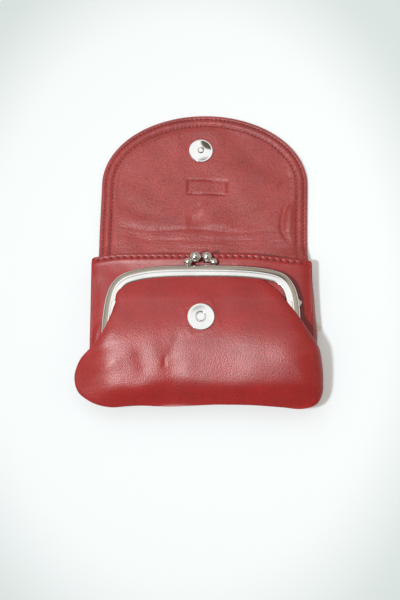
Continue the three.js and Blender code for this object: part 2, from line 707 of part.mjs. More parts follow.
// One row across the pouch, drawn inwards by an inset: a quarter turn of the round bottom first,
// then straight up, in from the widest row to the neck between the frame's legs.
function pouchRow(v, inset) {
  const round = POUCH_WIDEST - POUCH_BOTTOM - inset;
  if (v < POUCH_BEND) {
    const turn = (v / POUCH_BEND) * (Math.PI / 2);
    const half = POUCH_HALF_WIDTH - inset - round * (1 - Math.sin(turn));
    return { y: POUCH_WIDEST - round * Math.cos(turn), half, fullness: Math.sin(turn) };
  }
  const y = blend(POUCH_WIDEST, POUCH_TOP + GAP, (v - POUCH_BEND) / (1 - POUCH_BEND));
  const half = blend(POUCH_HALF_WIDTH, POUCH_NECK, ease(y, POUCH_WIDEST, POUCH_SHOULDER)) - inset;
  return { y, half, fullness: 1 };
}

// The front wall's arched surface, drawn inwards by an inset. u runs across, v up the pouch.
function frontSurface(inset) {
  return (u, v) => {
    const { y, half, fullness } = pouchRow(v, inset);
    const across = Math.sin((u - 0.5) * Math.PI);
    const lip = rearWall(y) + LEATHER + GAP + POUCH_LIP;
    const rise = Math.sqrt(1 - Math.abs(across) ** POUCH_FLATNESS);
    return [half * across, y, lip - inset + (frontWall(y) - lip) * fullness * rise];
  };
}

// Where the frame's legs and their hinge swing, kept clear of leather.
function frameSweep() {
  const band = archBand(-GAP, LEAF_BAND + GAP, -EAR_RADIUS - 2 * GAP);
  return plate(band, REAR_LEAF_LEVEL - GAP, POUCH_TOP_LEVEL + SNAP_CAP + POUCH_BELLY);
}

// A box-shaped pocket for the snap's backing plate, cut upwards from a level.
function plateRecess(y, level, depth) {
  const half = PLATE_SIZE / 2 + GAP;
  return box(-half, half, y - half, y + half, level - OVERCUT, level + depth);
}

const backingPlate = (y, level) =>
  box(-PLATE_SIZE / 2, PLATE_SIZE / 2, y - PLATE_SIZE / 2, y + PLATE_SIZE / 2, level, level + PLATE);

// The space under the front wall's surface at an inset, down to a lift above the rear wall.
function underFront(inset, lift, grid) {
  const surface = frontSurface(inset);
  return sheet(surface, (u, v) => {
    const [x, y] = surface(u, v);
    return [x, y, rearWall(y) + lift];
  }, grid);
}

// Everything on one side of the line where the front wall bends as the frame opens: side +1 is
// the mouth above it, which swings with the front leaf, and -1 the bag below it.
function besideBend(side) {
  const edge = POUCH_BEND_Y + (side * BEND_GAP) / 2;
  const end = POUCH_BEND_Y + side * BODY_WIDTH;
  const top = SNAP_CAP_TOP + POUCH_BELLY;
  return box(-BODY_WIDTH, BODY_WIDTH, Math.min(edge, end), Math.max(edge, end), 0, top);
}

function pouchFront() {
  const seam = LEATHER + GAP;
  const outer = underFront(0, seam, POUCH_GRID);
  const hollow = underFront(LEATHER, -OVERCUT, POUCH_GRID);
  const recess = plateRecess(SNAP_Y, POUCH_TOP_LEVEL - LEATHER, PLATE + GAP);
  return cut(outer, hollow, recess, frameSweep());
}

function pouchLiningFront() {
  const inset = LEATHER + GAP;
  const outer = underFront(inset, -OVERCUT, POUCH_LINING_GRID);
  const hollow = underFront(inset + LINING, -2 * OVERCUT, POUCH_LINING_GRID);
  const rearPlies = alongRear(-OVERCUT, -3 * OVERCUT, 3 * OVERCUT + LEATHER + GAP + LINING + GAP);
  return cut(outer, hollow, rearPlies, frameSweep());
}

// A sheet along the rear wall, from a lift above its under side.
function alongRear(inset, lift, thickness) {
  const face = (level) => (u, v) => {
    const [x, y] = frontSurface(inset)(u, v);
    return [x, y, rearWall(y) + level];
  };
  return sheet(face(lift + thickness), face(lift), POUCH_REAR_GRID);
}

// The female half: a cap with a round hole, hollow below for its ring magnet.
function snapCap() {
  const inner = SNAP_RADIUS - SNAP_SHEET;
  const roof = SNAP_CAP - SNAP_SHEET;
  const neck = SNAP_HOLE + SNAP_SHEET;
  const profile = [
    new THREE.Vector2(SNAP_HOLE, 0),
    new THREE.Vector2(neck, 0),
    new THREE.Vector2(neck, roof),
    new THREE.Vector2(inner, roof),
    new THREE.Vector2(inner, 0),
    new THREE.Vector2(SNAP_RADIUS, 0),
    new THREE.Vector2(SNAP_RADIUS, roof),
    new THREE.Vector2(inner, SNAP_CAP),
    new THREE.Vector2(neck, SNAP_CAP),
    new THREE.Vector2(SNAP_HOLE, roof),
    new THREE.Vector2(SNAP_HOLE, 0),
  ];
  return new THREE.LatheGeometry(profile, SNAP_FACETS).rotateX(Math.PI / 2);
}

function ringMagnet() {
  const from = SNAP_HOLE + SNAP_SHEET + GAP;
  const to = SNAP_RADIUS - SNAP_SHEET - GAP;
  const profile = [
    new THREE.Vector2(from, 0),
    new THREE.Vector2(to, 0),
    new THREE.Vector2(to, MAGNET),
    new THREE.Vector2(from, MAGNET),
    new THREE.Vector2(from, 0),
  ];
  return new THREE.LatheGeometry(profile, SNAP_FACETS).rotateX(Math.PI / 2);
}

// The male half: a low dished disc with a post.
function snapDisc() {
  const profile = [
    new THREE.Vector2(0, 0),
    new THREE.Vector2(DISC_RADIUS, 0),
    new THREE.Vector2(DISC_RADIUS, DISC / 2),
    new THREE.Vector2(DISC_RADIUS - DISC / 2, DISC),
    new THREE.Vector2(POST_RADIUS, DISC),
    new THREE.Vector2(POST_RADIUS, DISC + POST / 2),
    new THREE.Vector2(POST_RADIUS / 2, DISC + POST),
    new THREE.Vector2(0, DISC + POST),
  ];
  return new THREE.LatheGeometry(profile, SNAP_FACETS).rotateX(Math.PI / 2);
}

function coinPouch() {
  const group = new THREE.Group();
  const capLevel = POUCH_TOP_LEVEL + GAP;
  addPiece(group, 'pouch_rear', cut(alongRear(0, 0, LEATHER), frameSweep()), redLeather);
  addPiece(group, 'pouch_lining_rear', cut(
    alongRear(LEATHER + GAP, LEATHER + GAP, LINING), frameSweep(),
  ), liningCloth);
  const front = pouchFront();
  const lining = pouchLiningFront();
  addPiece(group, 'pouch_mouth', common(front, besideBend(1)), redLeather);
  addPiece(group, 'pouch_front', common(front, besideBend(-1)), redLeather);
  addPiece(group, 'pouch_lining_mouth', common(lining, besideBend(1)), liningCloth);
  addPiece(group, 'pouch_lining_front', common(lining, besideBend(-1)), liningCloth);
  addPiece(group, 'pouch_snap_cap', snapCap(), steel).position.set(0, SNAP_Y, capLevel);
  addPiece(group, 'pouch_snap_magnet', ringMagnet(), ferrite).position.set(0, SNAP_Y, capLevel);
  addPiece(group, 'pouch_snap_plate', backingPlate(SNAP_Y, POUCH_TOP_LEVEL - LEATHER), steel);
  return group;
}

// Flap

// The flap's outline beyond its second fold: straight sides, then half an ellipse.
function flapShape() {
  const w = FLAP_HALF_WIDTH;
  const from = FLAP_Y + GAP / 2;
  const roundFrom = FLAP_TIP - FLAP_ROUND;
  const shape = new THREE.Shape();
  shape.moveTo(-w, from);
  shape.lineTo(w, from);
  shape.lineTo(w, roundFrom);
  shape.absellipse(0, roundFrom, w, FLAP_ROUND, 0, Math.PI, false, 0);
  return shape;
}

function flap() {
  const group = new THREE.Group();
  const w = FLAP_HALF_WIDTH;
  const spineFrom = FOLD_Y + GAP / 2;
  const spineTo = FLAP_Y - GAP / 2;
  const liningLevel = FLAP_LEATHER + GAP;
  const plateLevel = FLAP_LEATHER - PLATE;
  const half = PLATE_SIZE / 2 + GAP;
  const recess = box(
    -half, half, FLAP_SNAP_Y - half, FLAP_SNAP_Y + half, plateLevel - GAP, FLAP_LEATHER + OVERCUT,
  );
  const outer = plate(flapShape(), 0, FLAP_LEATHER, 0, FLAP_FACETS);
  const lining = plate(flapShape(), liningLevel, FLAP_THICKNESS, 0, FLAP_FACETS);
  const spine = (low, high) => box(-w, w, spineFrom, spineTo, low, high);
  addPiece(group, 'spine_outer', spine(0, FLAP_LEATHER), redLeather);
  addPiece(group, 'spine_lining', spine(liningLevel, FLAP_THICKNESS), liningLeather);
  addPiece(group, 'flap_outer', cut(outer, recess), redLeather);
  addPiece(group, 'flap_lining', lining, liningLeather);
  addPiece(group, 'flap_snap_plate', backingPlate(FLAP_SNAP_Y, plateLevel), steel);
  const disc = addPiece(group, 'flap_snap_disc', snapDisc(), steel);
  disc.position.set(0, FLAP_SNAP_Y, FLAP_THICKNESS + GAP);
  return group;
}

// The whole purse

function zipPlace(y, zipInset, sliderInset, pullAngle, up) {
  const slider = BODY_WIDTH / 2 - sliderInset;
  return { y, from: zipInset - BODY_WIDTH / 2, slider, to: slider + SLIDER_LENGTH / 2, pullAngle, up };
}

const rearZip = zipPlace(REAR_ZIP_Y, REAR_ZIP_INSET, REAR_SLIDER_INSET, -REAR_PULL_ANGLE, -1);
const frontZip = zipPlace(FRONT_ZIP_Y, FRONT_ZIP_INSET, FRONT_SLIDER_INSET, FRONT_PULL_ANGLE, 1);

const purse = new THREE.Group();
const rearZipGroup = zipAssembly('rear_zip', rearZip);
rearZipGroup.position.set(0, REAR_ZIP_Y, REAR_TAPE_LEVEL);
rearZipGroup.rotation.x = Math.PI;
const frontZipGroup = zipAssembly('front_zip', frontZip);
frontZipGroup.position.set(0, FRONT_ZIP_Y, FRONT_TAPE_LEVEL);
purse.add(body(rearZip, frontZip), rearZipGroup, frontZipGroup, kissLockFrame(), coinPouch(), flap());

export default purse;
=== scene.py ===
"""Dresses a kiss-lock coin purse: leather, stitching, lining, metal, studio floor and camera.

Lengths in the surfaces are millimetres in the purse's own frame: +X to the right, +Y towards the
open flap's tip, +Z up from the table. They become metres when a mesh is made.
"""

import json
import math

import bmesh
import bpy
import numpy as np
from bpy.props import FloatProperty, FloatVectorProperty, IntProperty, PointerProperty
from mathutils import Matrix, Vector


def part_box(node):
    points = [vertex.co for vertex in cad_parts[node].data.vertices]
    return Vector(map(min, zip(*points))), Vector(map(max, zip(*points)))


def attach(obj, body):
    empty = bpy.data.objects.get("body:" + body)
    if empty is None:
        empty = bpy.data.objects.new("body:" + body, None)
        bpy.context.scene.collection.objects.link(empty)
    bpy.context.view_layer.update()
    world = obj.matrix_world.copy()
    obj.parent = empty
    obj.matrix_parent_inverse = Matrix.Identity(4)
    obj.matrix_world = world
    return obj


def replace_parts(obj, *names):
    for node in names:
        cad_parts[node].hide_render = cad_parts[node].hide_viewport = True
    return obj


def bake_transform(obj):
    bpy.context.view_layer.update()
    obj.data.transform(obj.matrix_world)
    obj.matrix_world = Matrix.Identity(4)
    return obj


bl_info = {
    "name": "Kiss-lock coin purse",
    "version": (1, 0, 0),
    "blender": (4, 5, 0),
    "location": "View3D > Sidebar > Purse",
    "description": "Leather, metal and stage of a kiss-lock coin purse on its CAD frame",
    "category": "Object",
}

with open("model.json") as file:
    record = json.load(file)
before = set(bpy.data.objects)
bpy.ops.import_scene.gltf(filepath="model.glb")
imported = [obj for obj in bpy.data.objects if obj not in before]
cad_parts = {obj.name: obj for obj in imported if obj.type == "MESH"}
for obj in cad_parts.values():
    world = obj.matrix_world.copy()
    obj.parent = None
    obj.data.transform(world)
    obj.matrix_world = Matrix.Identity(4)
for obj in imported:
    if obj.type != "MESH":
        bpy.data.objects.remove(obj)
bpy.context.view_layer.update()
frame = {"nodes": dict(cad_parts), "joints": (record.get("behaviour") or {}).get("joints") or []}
MM = 0.001


def span(node):
    """Lowest and highest corner of a CAD node at rest, in millimetres."""
    low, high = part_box(node)
    return np.array(low) / MM, np.array(high) / MM


def hinge_point(name):
    """Where a joint's axis stands at rest, in millimetres."""
    joint = next(j for j in frame["joints"] if j["name"] == name)
    return np.array(joint["pos_m"]) / MM


FLAP_HIGH = span("flap_lining")[1]
PANEL_LOW, PANEL_HIGH = span("front_panel")
BACK_HIGH = span("back_panel")[1]
LEAF_HIGH = span("frame_front_leaf")[1]
REAR_LEAF_LOW = span("frame_rear_leaf")[0]
CAP_LOW, CAP_HIGH = span("pouch_snap_cap")
DISC_LOW, DISC_HIGH = span("flap_snap_disc")
SNAP_Y = (CAP_LOW[1] + CAP_HIGH[1]) / 2
SNAP_MIDDLE = np.array([0.0, SNAP_Y])
DISC_MIDDLE = (DISC_LOW + DISC_HIGH) / 2
FOLD = hinge_point("flap_fold")
CLOSE = hinge_point("flap_close")
HINGE = hinge_point("frame_open")
SPINE_MIDDLE = (FOLD[1] + CLOSE[1]) / 2
UP = np.array([0.0, 0.0, 1.0])

# Y at which the flap's straight sides end and its round end begins.
FLAP_SHOULDER = 104.1


# Settings


def length(name, description, default):
    """A length property, its default given in millimetres."""
    return FloatProperty(name=name, description=description, default=default * MM, min=0.0, unit="LENGTH")


def colour(name, description, default):
    """A colour property in linear light."""
    return FloatVectorProperty(
        name=name, description=description, default=default, size=3, min=0.0, max=1.0, subtype="COLOR"
    )


class PurseLeather(bpy.types.PropertyGroup):
    """Leather, thread and cloth finishes."""

    hide: colour("Leather", "Colour of the red leather", (0.345, 0.0115, 0.011))
    # Lining colour: partly its own, partly painted sheen, paler and pinker than the red leather.
    lining: colour("Lining leather", "Colour of the flap's lining leather", (0.385, 0.05, 0.048))
    thread: colour("Thread", "Colour of the sewing thread", (0.2, 0.012, 0.014))
    cloth: colour("Lining cloth", "Colour of the pocket cloth", (0.09, 0.014, 0.016))
    tape: colour("Zip tape", "Colour of the zip tape", (0.17, 0.022, 0.024))
    grain: length("Grain", "Size of one pebble of the outer leather's grain", 0.65)
    lining_grain: length("Lining grain", "Size of one pebble of the flap lining's grain", 1.0)
    thickness: length("Thickness", "Thickness of the pouch and panel leather", 1.0)


class PurseFlap(bpy.types.PropertyGroup):
    """Sizes of the flap and its edge."""

    half_width: length("Half width", "Half of the flap's width", FLAP_HIGH[0] - 0.4)
    skew: length("Skew", "How far the open flap lies to the right of the body's middle", 1.3)
    round_height: length("Round height", "Height of the half-ellipse end", FLAP_HIGH[1] - FLAP_SHOULDER)
    edge_row: length("Edge row", "Outer stitch row from the edge", 2.1)
    inner_row: length("Inner row", "Inner stitch row from the edge", 6.2)
    roll: length("Roll", "Height of the padded roll between the rows", 0.55)
    pitch: length("Stitch pitch", "Distance from stitch to stitch on the flap", 2.2)
    hem_pitch: length("Hem pitch", "Distance from stitch to stitch on the front panel's hem", 3.6)


class PursePouch(bpy.types.PropertyGroup):
    """Sizes of the coin pouch."""

    belly: length("Belly", "How far the pouch's belly stands above the leather under the snap", 0.9)
    lobe_radius: length("Lobe radius", "Width of the rounded edge at the bottom and the lobes", 19.0)
    pucker: length("Pucker", "Depth of the folds in the pouch's front", 0.8)
    around: IntProperty(name="Around", description="Points round the pouch's edge", default=440, min=60)
    rings: IntProperty(name="Rings", description="Rings from the edge to the snap", default=64, min=12)


class PurseMetal(bpy.types.PropertyGroup):
    """Metal finishes."""

    nickel: colour("Nickel", "Colour of the frame's nickel plate", (0.80, 0.785, 0.755))
    snap: colour("Snap", "Colour of the polished snap", (0.80, 0.79, 0.77))
    pull: colour("Pull", "Colour of the zip metal", (0.45, 0.385, 0.31))
    ferrite: colour("Ferrite", "Colour of the ring magnet", (0.03, 0.03, 0.032))
    paper: colour("Paper", "Colour of the paper cord", (0.48, 0.40, 0.26))


class PurseStage(bpy.types.PropertyGroup):
    """Floor, light and camera."""

    floor: colour("Floor", "Colour of the floor", (0.62, 0.69, 0.725))
    glow: colour("Glow", "Even light that the pale floor shows to the camera", (0.279, 0.262, 0.246))
    elevation: FloatProperty(
        name="Elevation",
        description="Camera angle above the table",
        default=math.radians(77),
        subtype="ANGLE",
    )
    distance: length("Distance", "Camera distance from the middle of the picture", 600.0)
    aim_x: FloatProperty(
        name="Aim X", description="Picture middle, across", default=-0.45 * MM, unit="LENGTH"
    )
    aim_y: length("Aim Y", "Picture middle, along the table", 39.4)
    lens: FloatProperty(name="Lens", description="Focal length in millimetres", default=67.0, min=1.0)


# Arrays


def ease(value, low, high):
    """Smooth step from 0 at low to 1 at high."""
    t = np.clip((value - low) / (high - low), 0, 1)
    return t * t * (3 - 2 * t)


def bell(value, centre, width):
    """Gaussian hump of height 1."""
    return np.exp(-(((value - centre) / width) ** 2))


def cloud(x, y, size, seed):
    """Smooth random heights from -1 to 1: seeded values on a lattice of the given size, eased between."""
    lattice = 64
    table = np.random.default_rng(seed).uniform(-1, 1, (lattice, lattice))
    u, v = np.asarray(x) / size, np.asarray(y) / size
    i, j = np.floor(u).astype(int), np.floor(v).astype(int)
    f, g = (t**3 * (t * (t * 6 - 15) + 10) for t in (u - i, v - j))
    i, j, k, m = i % lattice, j % lattice, (i + 1) % lattice, (j + 1) % lattice
    low = table[i, j] * (1 - f) + table[k, j] * f
    high = table[i, m] * (1 - f) + table[k, m] * f
    return low * (1 - g) + high * g


def quarter_round(away, width, power=2):
    """0 at an edge and 1 from a width in, along a quarter circle or, with another power, a fuller curve."""
    return np.sqrt(1 - (1 - np.clip(away / width, 0, 1)) ** power)


def turned(x, y, middle, angle):
    """Coordinates of points about a middle, along axes turned by an angle."""
    dx, dy = x - middle[0], y - middle[1]
    return dx * math.cos(angle) + dy * math.sin(angle), dy * math.cos(angle) - dx * math.sin(angle)


def run_along(path):
    """Distance run along a path to each of its points, in the XY plane."""
    steps = np.linalg.norm(np.diff(path[:, :2], axis=0), axis=1)
    return np.concatenate([[0], np.cumsum(steps)])


def crease(x, y, line, width):
    """A fold along a rounded line of points: 1 on it, fading with distance and towards its ends."""
    fade = 0.35
    p = rounded(line, 2)
    run = run_along(p)
    nearest, at = np.full(np.shape(x), np.inf), np.zeros(np.shape(x))
    for k, along in enumerate(np.diff(p, axis=0)):
        c = np.clip(((x - p[k, 0]) * along[0] + (y - p[k, 1]) * along[1]) / (along @ along), 0, 1)
        away = np.hypot(x - p[k, 0] - c * along[0], y - p[k, 1] - c * along[1])
        at = np.where(away < nearest, run[k] + c * (run[k + 1] - run[k]), at)
        nearest = np.minimum(nearest, away)
    c = at / run[-1]
    return np.exp(-((nearest / width) ** 2)) * ease(c, 0, fade) * ease(1 - c, 0, fade)


def fold_lines(x, y, table):
    """Sum of the creases of a table: depth (up is positive), width and the points of each line."""
    return sum(depth * crease(x, y, line, width) for depth, width, line in table)


def grid_quads(rows, columns, wrap):
    """Corners of a grid's quads, points numbered row by row, facing +Z for X columns and Y rows."""
    i = np.arange(rows - 1)[:, None] * columns
    j = np.arange(columns if wrap else columns - 1)[None, :]
    k = (j + 1) % columns
    return np.stack([i + j, i + k, i + columns + k, i + columns + j], -1).reshape(-1, 4)


def surface(points, wrap=False):
    """A grid of points as (points, quads)."""
    rows, columns = points.shape[:2]
    return points.reshape(-1, 3), grid_quads(rows, columns, wrap)


def closed_sheet(top, bottom, wrap=False):
    """Two grids over the same parameters, joined along their borders into one closed skin."""
    rows, columns = top.shape[:2]
    layer, last = rows * columns, (rows - 1) * columns
    face = grid_quads(rows, columns, wrap)
    j = np.arange(columns if wrap else columns - 1)
    k = (j + 1) % columns
    rims = [
        np.stack([k, j, layer + j, layer + k], -1),
        np.stack([last + j, last + k, layer + last + k, layer + last + j], -1),
    ]
    if not wrap:
        i = np.arange(rows - 1) * columns
        e = i + columns - 1
        rims.append(np.stack([i, i + columns, layer + i + columns, layer + i], -1))
        rims.append(np.stack([e + columns, e, layer + e, layer + e + columns], -1))
    points = np.concatenate([top.reshape(-1, 3), bottom.reshape(-1, 3)])
    return points, np.concatenate([face, face[:, ::-1] + layer, *rims])


def joined(*parts):
    """Several (points, quads) as one."""
    starts = np.cumsum([0] + [len(p) for p, _ in parts[:-1]])
    return np.concatenate([p for p, _ in parts]), np.concatenate([q + s for (_, q), s in zip(parts, starts)])


def lathe(profile, centre, segments=96):
    """A profile of (radius, height) turned about the vertical through centre."""
    profile = np.array(profile, float)
    angle = np.linspace(0, 2 * np.pi, segments, endpoint=False)
    radius, height = profile[:, :1], profile[:, 1:]
    points = np.stack([radius * np.cos(angle), radius * np.sin(angle), height + 0 * angle], -1)
    return surface(points + np.array(centre, float), wrap=True)


def rounded(profile, passes=2, closed=False):
    """A profile with its corners cut off a few times, each cut a quarter of the way along its sides."""
    p = np.array(profile, float)
    for _ in range(passes):
        after = np.roll(p, -1, 0) if closed else p[1:]
        before = p if closed else p[:-1]
        cut = np.stack([0.75 * before + 0.25 * after, 0.25 * before + 0.75 * after], 1)
        cut = cut.reshape(-1, p.shape[1])
        p = cut if closed else np.concatenate([p[:1], cut, p[-1:]])
    return p


def resampled(path, count, closed):
    """A path's points at even steps along its XY length; on a closed path the repeated end is left out."""
    run = run_along(path)
    at = np.linspace(0, run[-1], count, endpoint=not closed)
    return np.stack([np.interp(at, run, path[:, c]) for c in range(path.shape[1])], -1)


def even(points, spacing, closed=False):
    """A path resampled at an even spacing along its length."""
    p = np.concatenate([points, points[:1]]) if closed else np.asarray(points, float)
    count = max(2, int(round(run_along(p)[-1] / spacing)))
    return resampled(p, count if closed else count + 1, closed)


def smooth_loop(controls, count):
    """A closed Catmull-Rom curve through control rows of any width, at even steps along its XY length."""
    c = np.array(controls, float)
    t = np.linspace(0, 1, 24, endpoint=False)[None, :, None]
    a, b, d, e = (np.roll(c, s, 0)[:, None, :] for s in (1, 0, -1, -2))
    curve = 0.5 * (2 * b + (d - a) * t + (2 * a - 5 * b + 4 * d - e) * t**2 + (3 * b - a - 3 * d + e) * t**3)
    curve = curve.reshape(-1, c.shape[1])
    return resampled(np.concatenate([curve, curve[:1]]), count, closed=True)


def left_normals(path, closed=False):
    """Unit normals to the left of a path's direction, in the XY plane."""
    p = path[:, :2]
    along = (np.roll(p, -1, 0) - np.roll(p, 1, 0)) if closed else np.gradient(p, axis=0)
    along = along / np.linalg.norm(along, axis=1, keepdims=True)
    return np.stack([-along[:, 1], along[:, 0]], -1)


def sweep(profile, path, normals, widen=None):
    """A closed profile of (inset, level) carried along an XY path, inset along the path's normals.

    widen gives, for each path point and profile point, an extra inset. Both ends close to a point.
    """
    inset = np.broadcast_to(profile[None, :, 0], (len(path), len(profile)))
    inset = inset if widen is None else inset + widen
    xy = path[:, None, :2] + normals[:, None, :] * inset[..., None]
    z = np.broadcast_to(profile[None, :, 1], inset.shape)
    body = np.concatenate([xy, z[..., None]], -1)
    first = np.broadcast_to(body[:1].mean(1, keepdims=True), body[:1].shape)
    last = np.broadcast_to(body[-1:].mean(1, keepdims=True), body[-1:].shape)
    return surface(np.concatenate([first, body, last]), wrap=True)


def rod(path, radii, sides=20):
    """A round rod along a 3-D path, its section turned square to the path, closed at both ends."""
    path, radii = np.array(path, float), np.broadcast_to(radii, len(path))
    along = np.gradient(path, axis=0)
    along = along / np.linalg.norm(along, axis=1, keepdims=True)
    side = np.cross(along, UP)
    side = side / np.maximum(np.linalg.norm(side, axis=1, keepdims=True), 1e-9)
    up = np.cross(side, along)
    angle = np.linspace(0, 2 * np.pi, sides, endpoint=False)
    ring = np.cos(angle)[None, :, None] * side[:, None] + np.sin(angle)[None, :, None] * up[:, None]
    body = path[:, None] + radii[:, None, None] * ring
    ends = [np.broadcast_to(path[k], (1, sides, 3)) for k in (0, -1)]
    return surface(np.concatenate([ends[0], body, ends[1]]), wrap=True)


def ball(centre, radius, rows=28):
    """A sphere as a turned half circle."""
    t = np.linspace(-np.pi / 2, np.pi / 2, rows)
    return lathe(np.stack([radius * np.cos(t), radius * np.sin(t)], -1), centre, 2 * rows)


def side_plate(outline, from_x, to_x, bevel):
    """A flat outline of (Y, Z) points as a bevelled plate between two X, its faces closed to a point."""
    p = np.array(outline, float)
    middle = np.broadcast_to(p.mean(0), p.shape)
    inner = middle + (p - middle) * (1 - bevel / np.abs(p - middle).max())
    near = ((from_x, middle), (from_x, inner), (from_x + bevel, p))
    far = ((to_x - bevel, p), (to_x, inner), (to_x, middle))
    rows = [np.concatenate([np.full((len(p), 1), x), ring], 1) for x, ring in near + far]
    return surface(np.stack(rows), wrap=True)


def stitch_row(centres, along, up, stitch, radius):
    """Stitches as slim pods: each a round section that swells along its thread and sinks at both ends."""
    a = np.linspace(-1, 1, 7)
    angle = np.linspace(0, 2 * np.pi, 8, endpoint=False)
    across = np.cross(up, along)
    swell = np.sqrt(1 - a**4)[:, None]
    wide = swell * np.cos(angle) * radius
    tall = swell * np.sin(angle) * radius - 0.5 * radius * a[:, None] ** 2
    points = (
        centres[:, None, None, :]
        + along[:, None, None, :] * (a * stitch / 2)[None, :, None, None]
        + across[:, None, None, :] * wide[None, :, :, None]
        + up[:, None, None, :] * tall[None, :, :, None]
    )
    quads = grid_quads(len(a), len(angle), wrap=True)
    each = len(a) * len(angle)
    shift = np.arange(len(centres))[:, None, None] * each
    return points.reshape(-1, 3), (quads[None] + shift).reshape(-1, 4)


# Pieces

# Points closer than WELD are joined and edges shorter than SLIVER go, both in metres. Edges bent by
# more than SHARP stay sharp.
WELD = 1e-6
SLIVER = 1e-7
SHARP = math.radians(55)


def add_piece(name, skin, material):
    """Makes the mesh of a piece from (points, quads): welds poles and seams and turns its faces outwards."""
    points, quads = skin
    mesh = bpy.data.meshes.new(name)
    mesh.vertices.add(len(points))
    mesh.vertices.foreach_set("co", (points * MM).astype(np.float32).ravel())
    mesh.loops.add(quads.size)
    mesh.loops.foreach_set("vertex_index", quads.astype(np.int32).ravel())
    mesh.polygons.add(len(quads))
    mesh.polygons.foreach_set("loop_start", np.arange(0, quads.size, 4, dtype=np.int32))
    mesh.update(calc_edges=True)
    shell = bmesh.new()
    shell.from_mesh(mesh)
    bmesh.ops.remove_doubles(shell, verts=shell.verts, dist=WELD)
    bmesh.ops.dissolve_degenerate(shell, edges=shell.edges, dist=SLIVER)
    bmesh.ops.recalc_face_normals(shell, faces=shell.faces)
    shell.to_mesh(mesh)
    shell.free()
    mesh.polygons.foreach_set("use_smooth", np.ones(len(mesh.polygons), bool))
    mesh.set_sharp_from_angle(angle=SHARP)
    mesh.materials.append(material)
    piece = bpy.data.objects.new(name, mesh)
    bpy.context.scene.collection.objects.link(piece)
    return piece


def bend(piece, first, second, hinge, before, after):
    """Bakes a piece's transform into its mesh; the two bodies, the hinge and the reaches are not used."""
    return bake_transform(piece)


# Materials


def socket(group, name, kind, direction, default=None):
    """Adds a socket to a node group's interface."""
    made = group.interface.new_socket(name=name, in_out=direction, socket_type=kind)
    if default is not None:
        made.default_value = default


def feed(tree, slot, value):
    """Links a socket into an input, or sets the input to a plain number or colour."""
    if isinstance(value, bpy.types.NodeSocket):
        tree.links.new(value, slot)
    elif slot.type == "RGBA":
        slot.default_value = (*value, 1.0)
    else:
        slot.default_value = value


def math_node(tree, operation, first, second):
    """A Math node fed by sockets or plain numbers."""
    made = tree.nodes.new("ShaderNodeMath")
    made.operation = operation
    feed(tree, made.inputs[0], first)
    feed(tree, made.inputs[1], second)
    return made.outputs[0]


def mix_colour(tree, factor, first, second, blend_type="MIX"):
    """A colour Mix node; factor, first and second are sockets or plain values."""
    made = tree.nodes.new("ShaderNodeMix")
    made.data_type = "RGBA"
    made.blend_type = blend_type
    feed(tree, made.inputs[0], factor)
    feed(tree, made.inputs[6], first)
    feed(tree, made.inputs[7], second)
    return made.outputs[2]


def noise(tree, vector, scale, detail):
    """A Noise texture on a vector."""
    made = tree.nodes.new("ShaderNodeTexNoise")
    made.inputs["Scale"].default_value = scale
    made.inputs["Detail"].default_value = detail
    tree.links.new(vector, made.inputs["Vector"])
    return made


def spread(tree, value, low, high):
    """Maps a value from 0..1 to low..high."""
    made = tree.nodes.new("ShaderNodeMapRange")
    tree.links.new(value, made.inputs["Value"])
    made.inputs["To Min"].default_value = low
    made.inputs["To Max"].default_value = high
    return made.outputs[0]


def smooth_range(tree, value, low, high):
    """0 where a value is at low and 1 where it is at high, eased between."""
    made = tree.nodes.new("ShaderNodeMapRange")
    made.interpolation_type = "SMOOTHSTEP"
    made.inputs["From Min"].default_value = low
    made.inputs["From Max"].default_value = high
    tree.links.new(value, made.inputs["Value"])
    return made.outputs[0]


def dot(tree, vector, direction):
    """Dot product of a vector with a fixed direction."""
    made = tree.nodes.new("ShaderNodeVectorMath")
    made.operation = "DOT_PRODUCT"
    made.inputs[1].default_value = direction
    tree.links.new(vector, made.inputs[0])
    return made.outputs["Value"]


def new_group(name, inputs, outputs):
    """An empty shader node group with its sockets; returns it with its input and output nodes."""
    group = bpy.data.node_groups.new(name, "ShaderNodeTree")
    for label, kind, default in inputs:
        socket(group, label, kind, "INPUT", default)
    for label, kind in outputs:
        socket(group, label, kind, "OUTPUT")
    return group, group.nodes.new("NodeGroupInput"), group.nodes.new("NodeGroupOutput")


def grain_group():
    """Leather grain: rounded pebbles between fine furrows, broken up by noise, and a slow mottling."""
    group, source, sink = new_group(
        "Leather grain",
        [("Vector", "NodeSocketVector", None), ("Pebbles", "NodeSocketFloat", 1600.0)],
        [("Height", "NodeSocketFloat"), ("Mottle", "NodeSocketFloat")],
    )
    link = group.links.new
    warp = noise(group, source.outputs["Vector"], 420.0, 2.0)
    push = group.nodes.new("ShaderNodeVectorMath")
    push.operation = "MULTIPLY_ADD"
    push.inputs[1].default_value = (0.0009, 0.0009, 0.0009)
    link(warp.outputs["Color"], push.inputs[0])
    link(source.outputs["Vector"], push.inputs[2])
    cells = group.nodes.new("ShaderNodeTexVoronoi")
    cells.feature = "SMOOTH_F1"
    cells.inputs["Smoothness"].default_value = 0.35
    link(push.outputs[0], cells.inputs["Vector"])
    link(source.outputs["Pebbles"], cells.inputs["Scale"])
    fine = noise(group, source.outputs["Vector"], 5200.0, 3.0)
    pebble = math_node(group, "SUBTRACT", 1.0, cells.outputs["Distance"])
    speck = math_node(group, "MULTIPLY", fine.outputs["Fac"], 0.35)
    link(math_node(group, "ADD", pebble, speck), sink.inputs["Height"])
    slow = noise(group, source.outputs["Vector"], 55.0, 4.0)
    slow.inputs["Roughness"].default_value = 0.6
    link(slow.outputs["Fac"], sink.inputs["Mottle"])
    return group


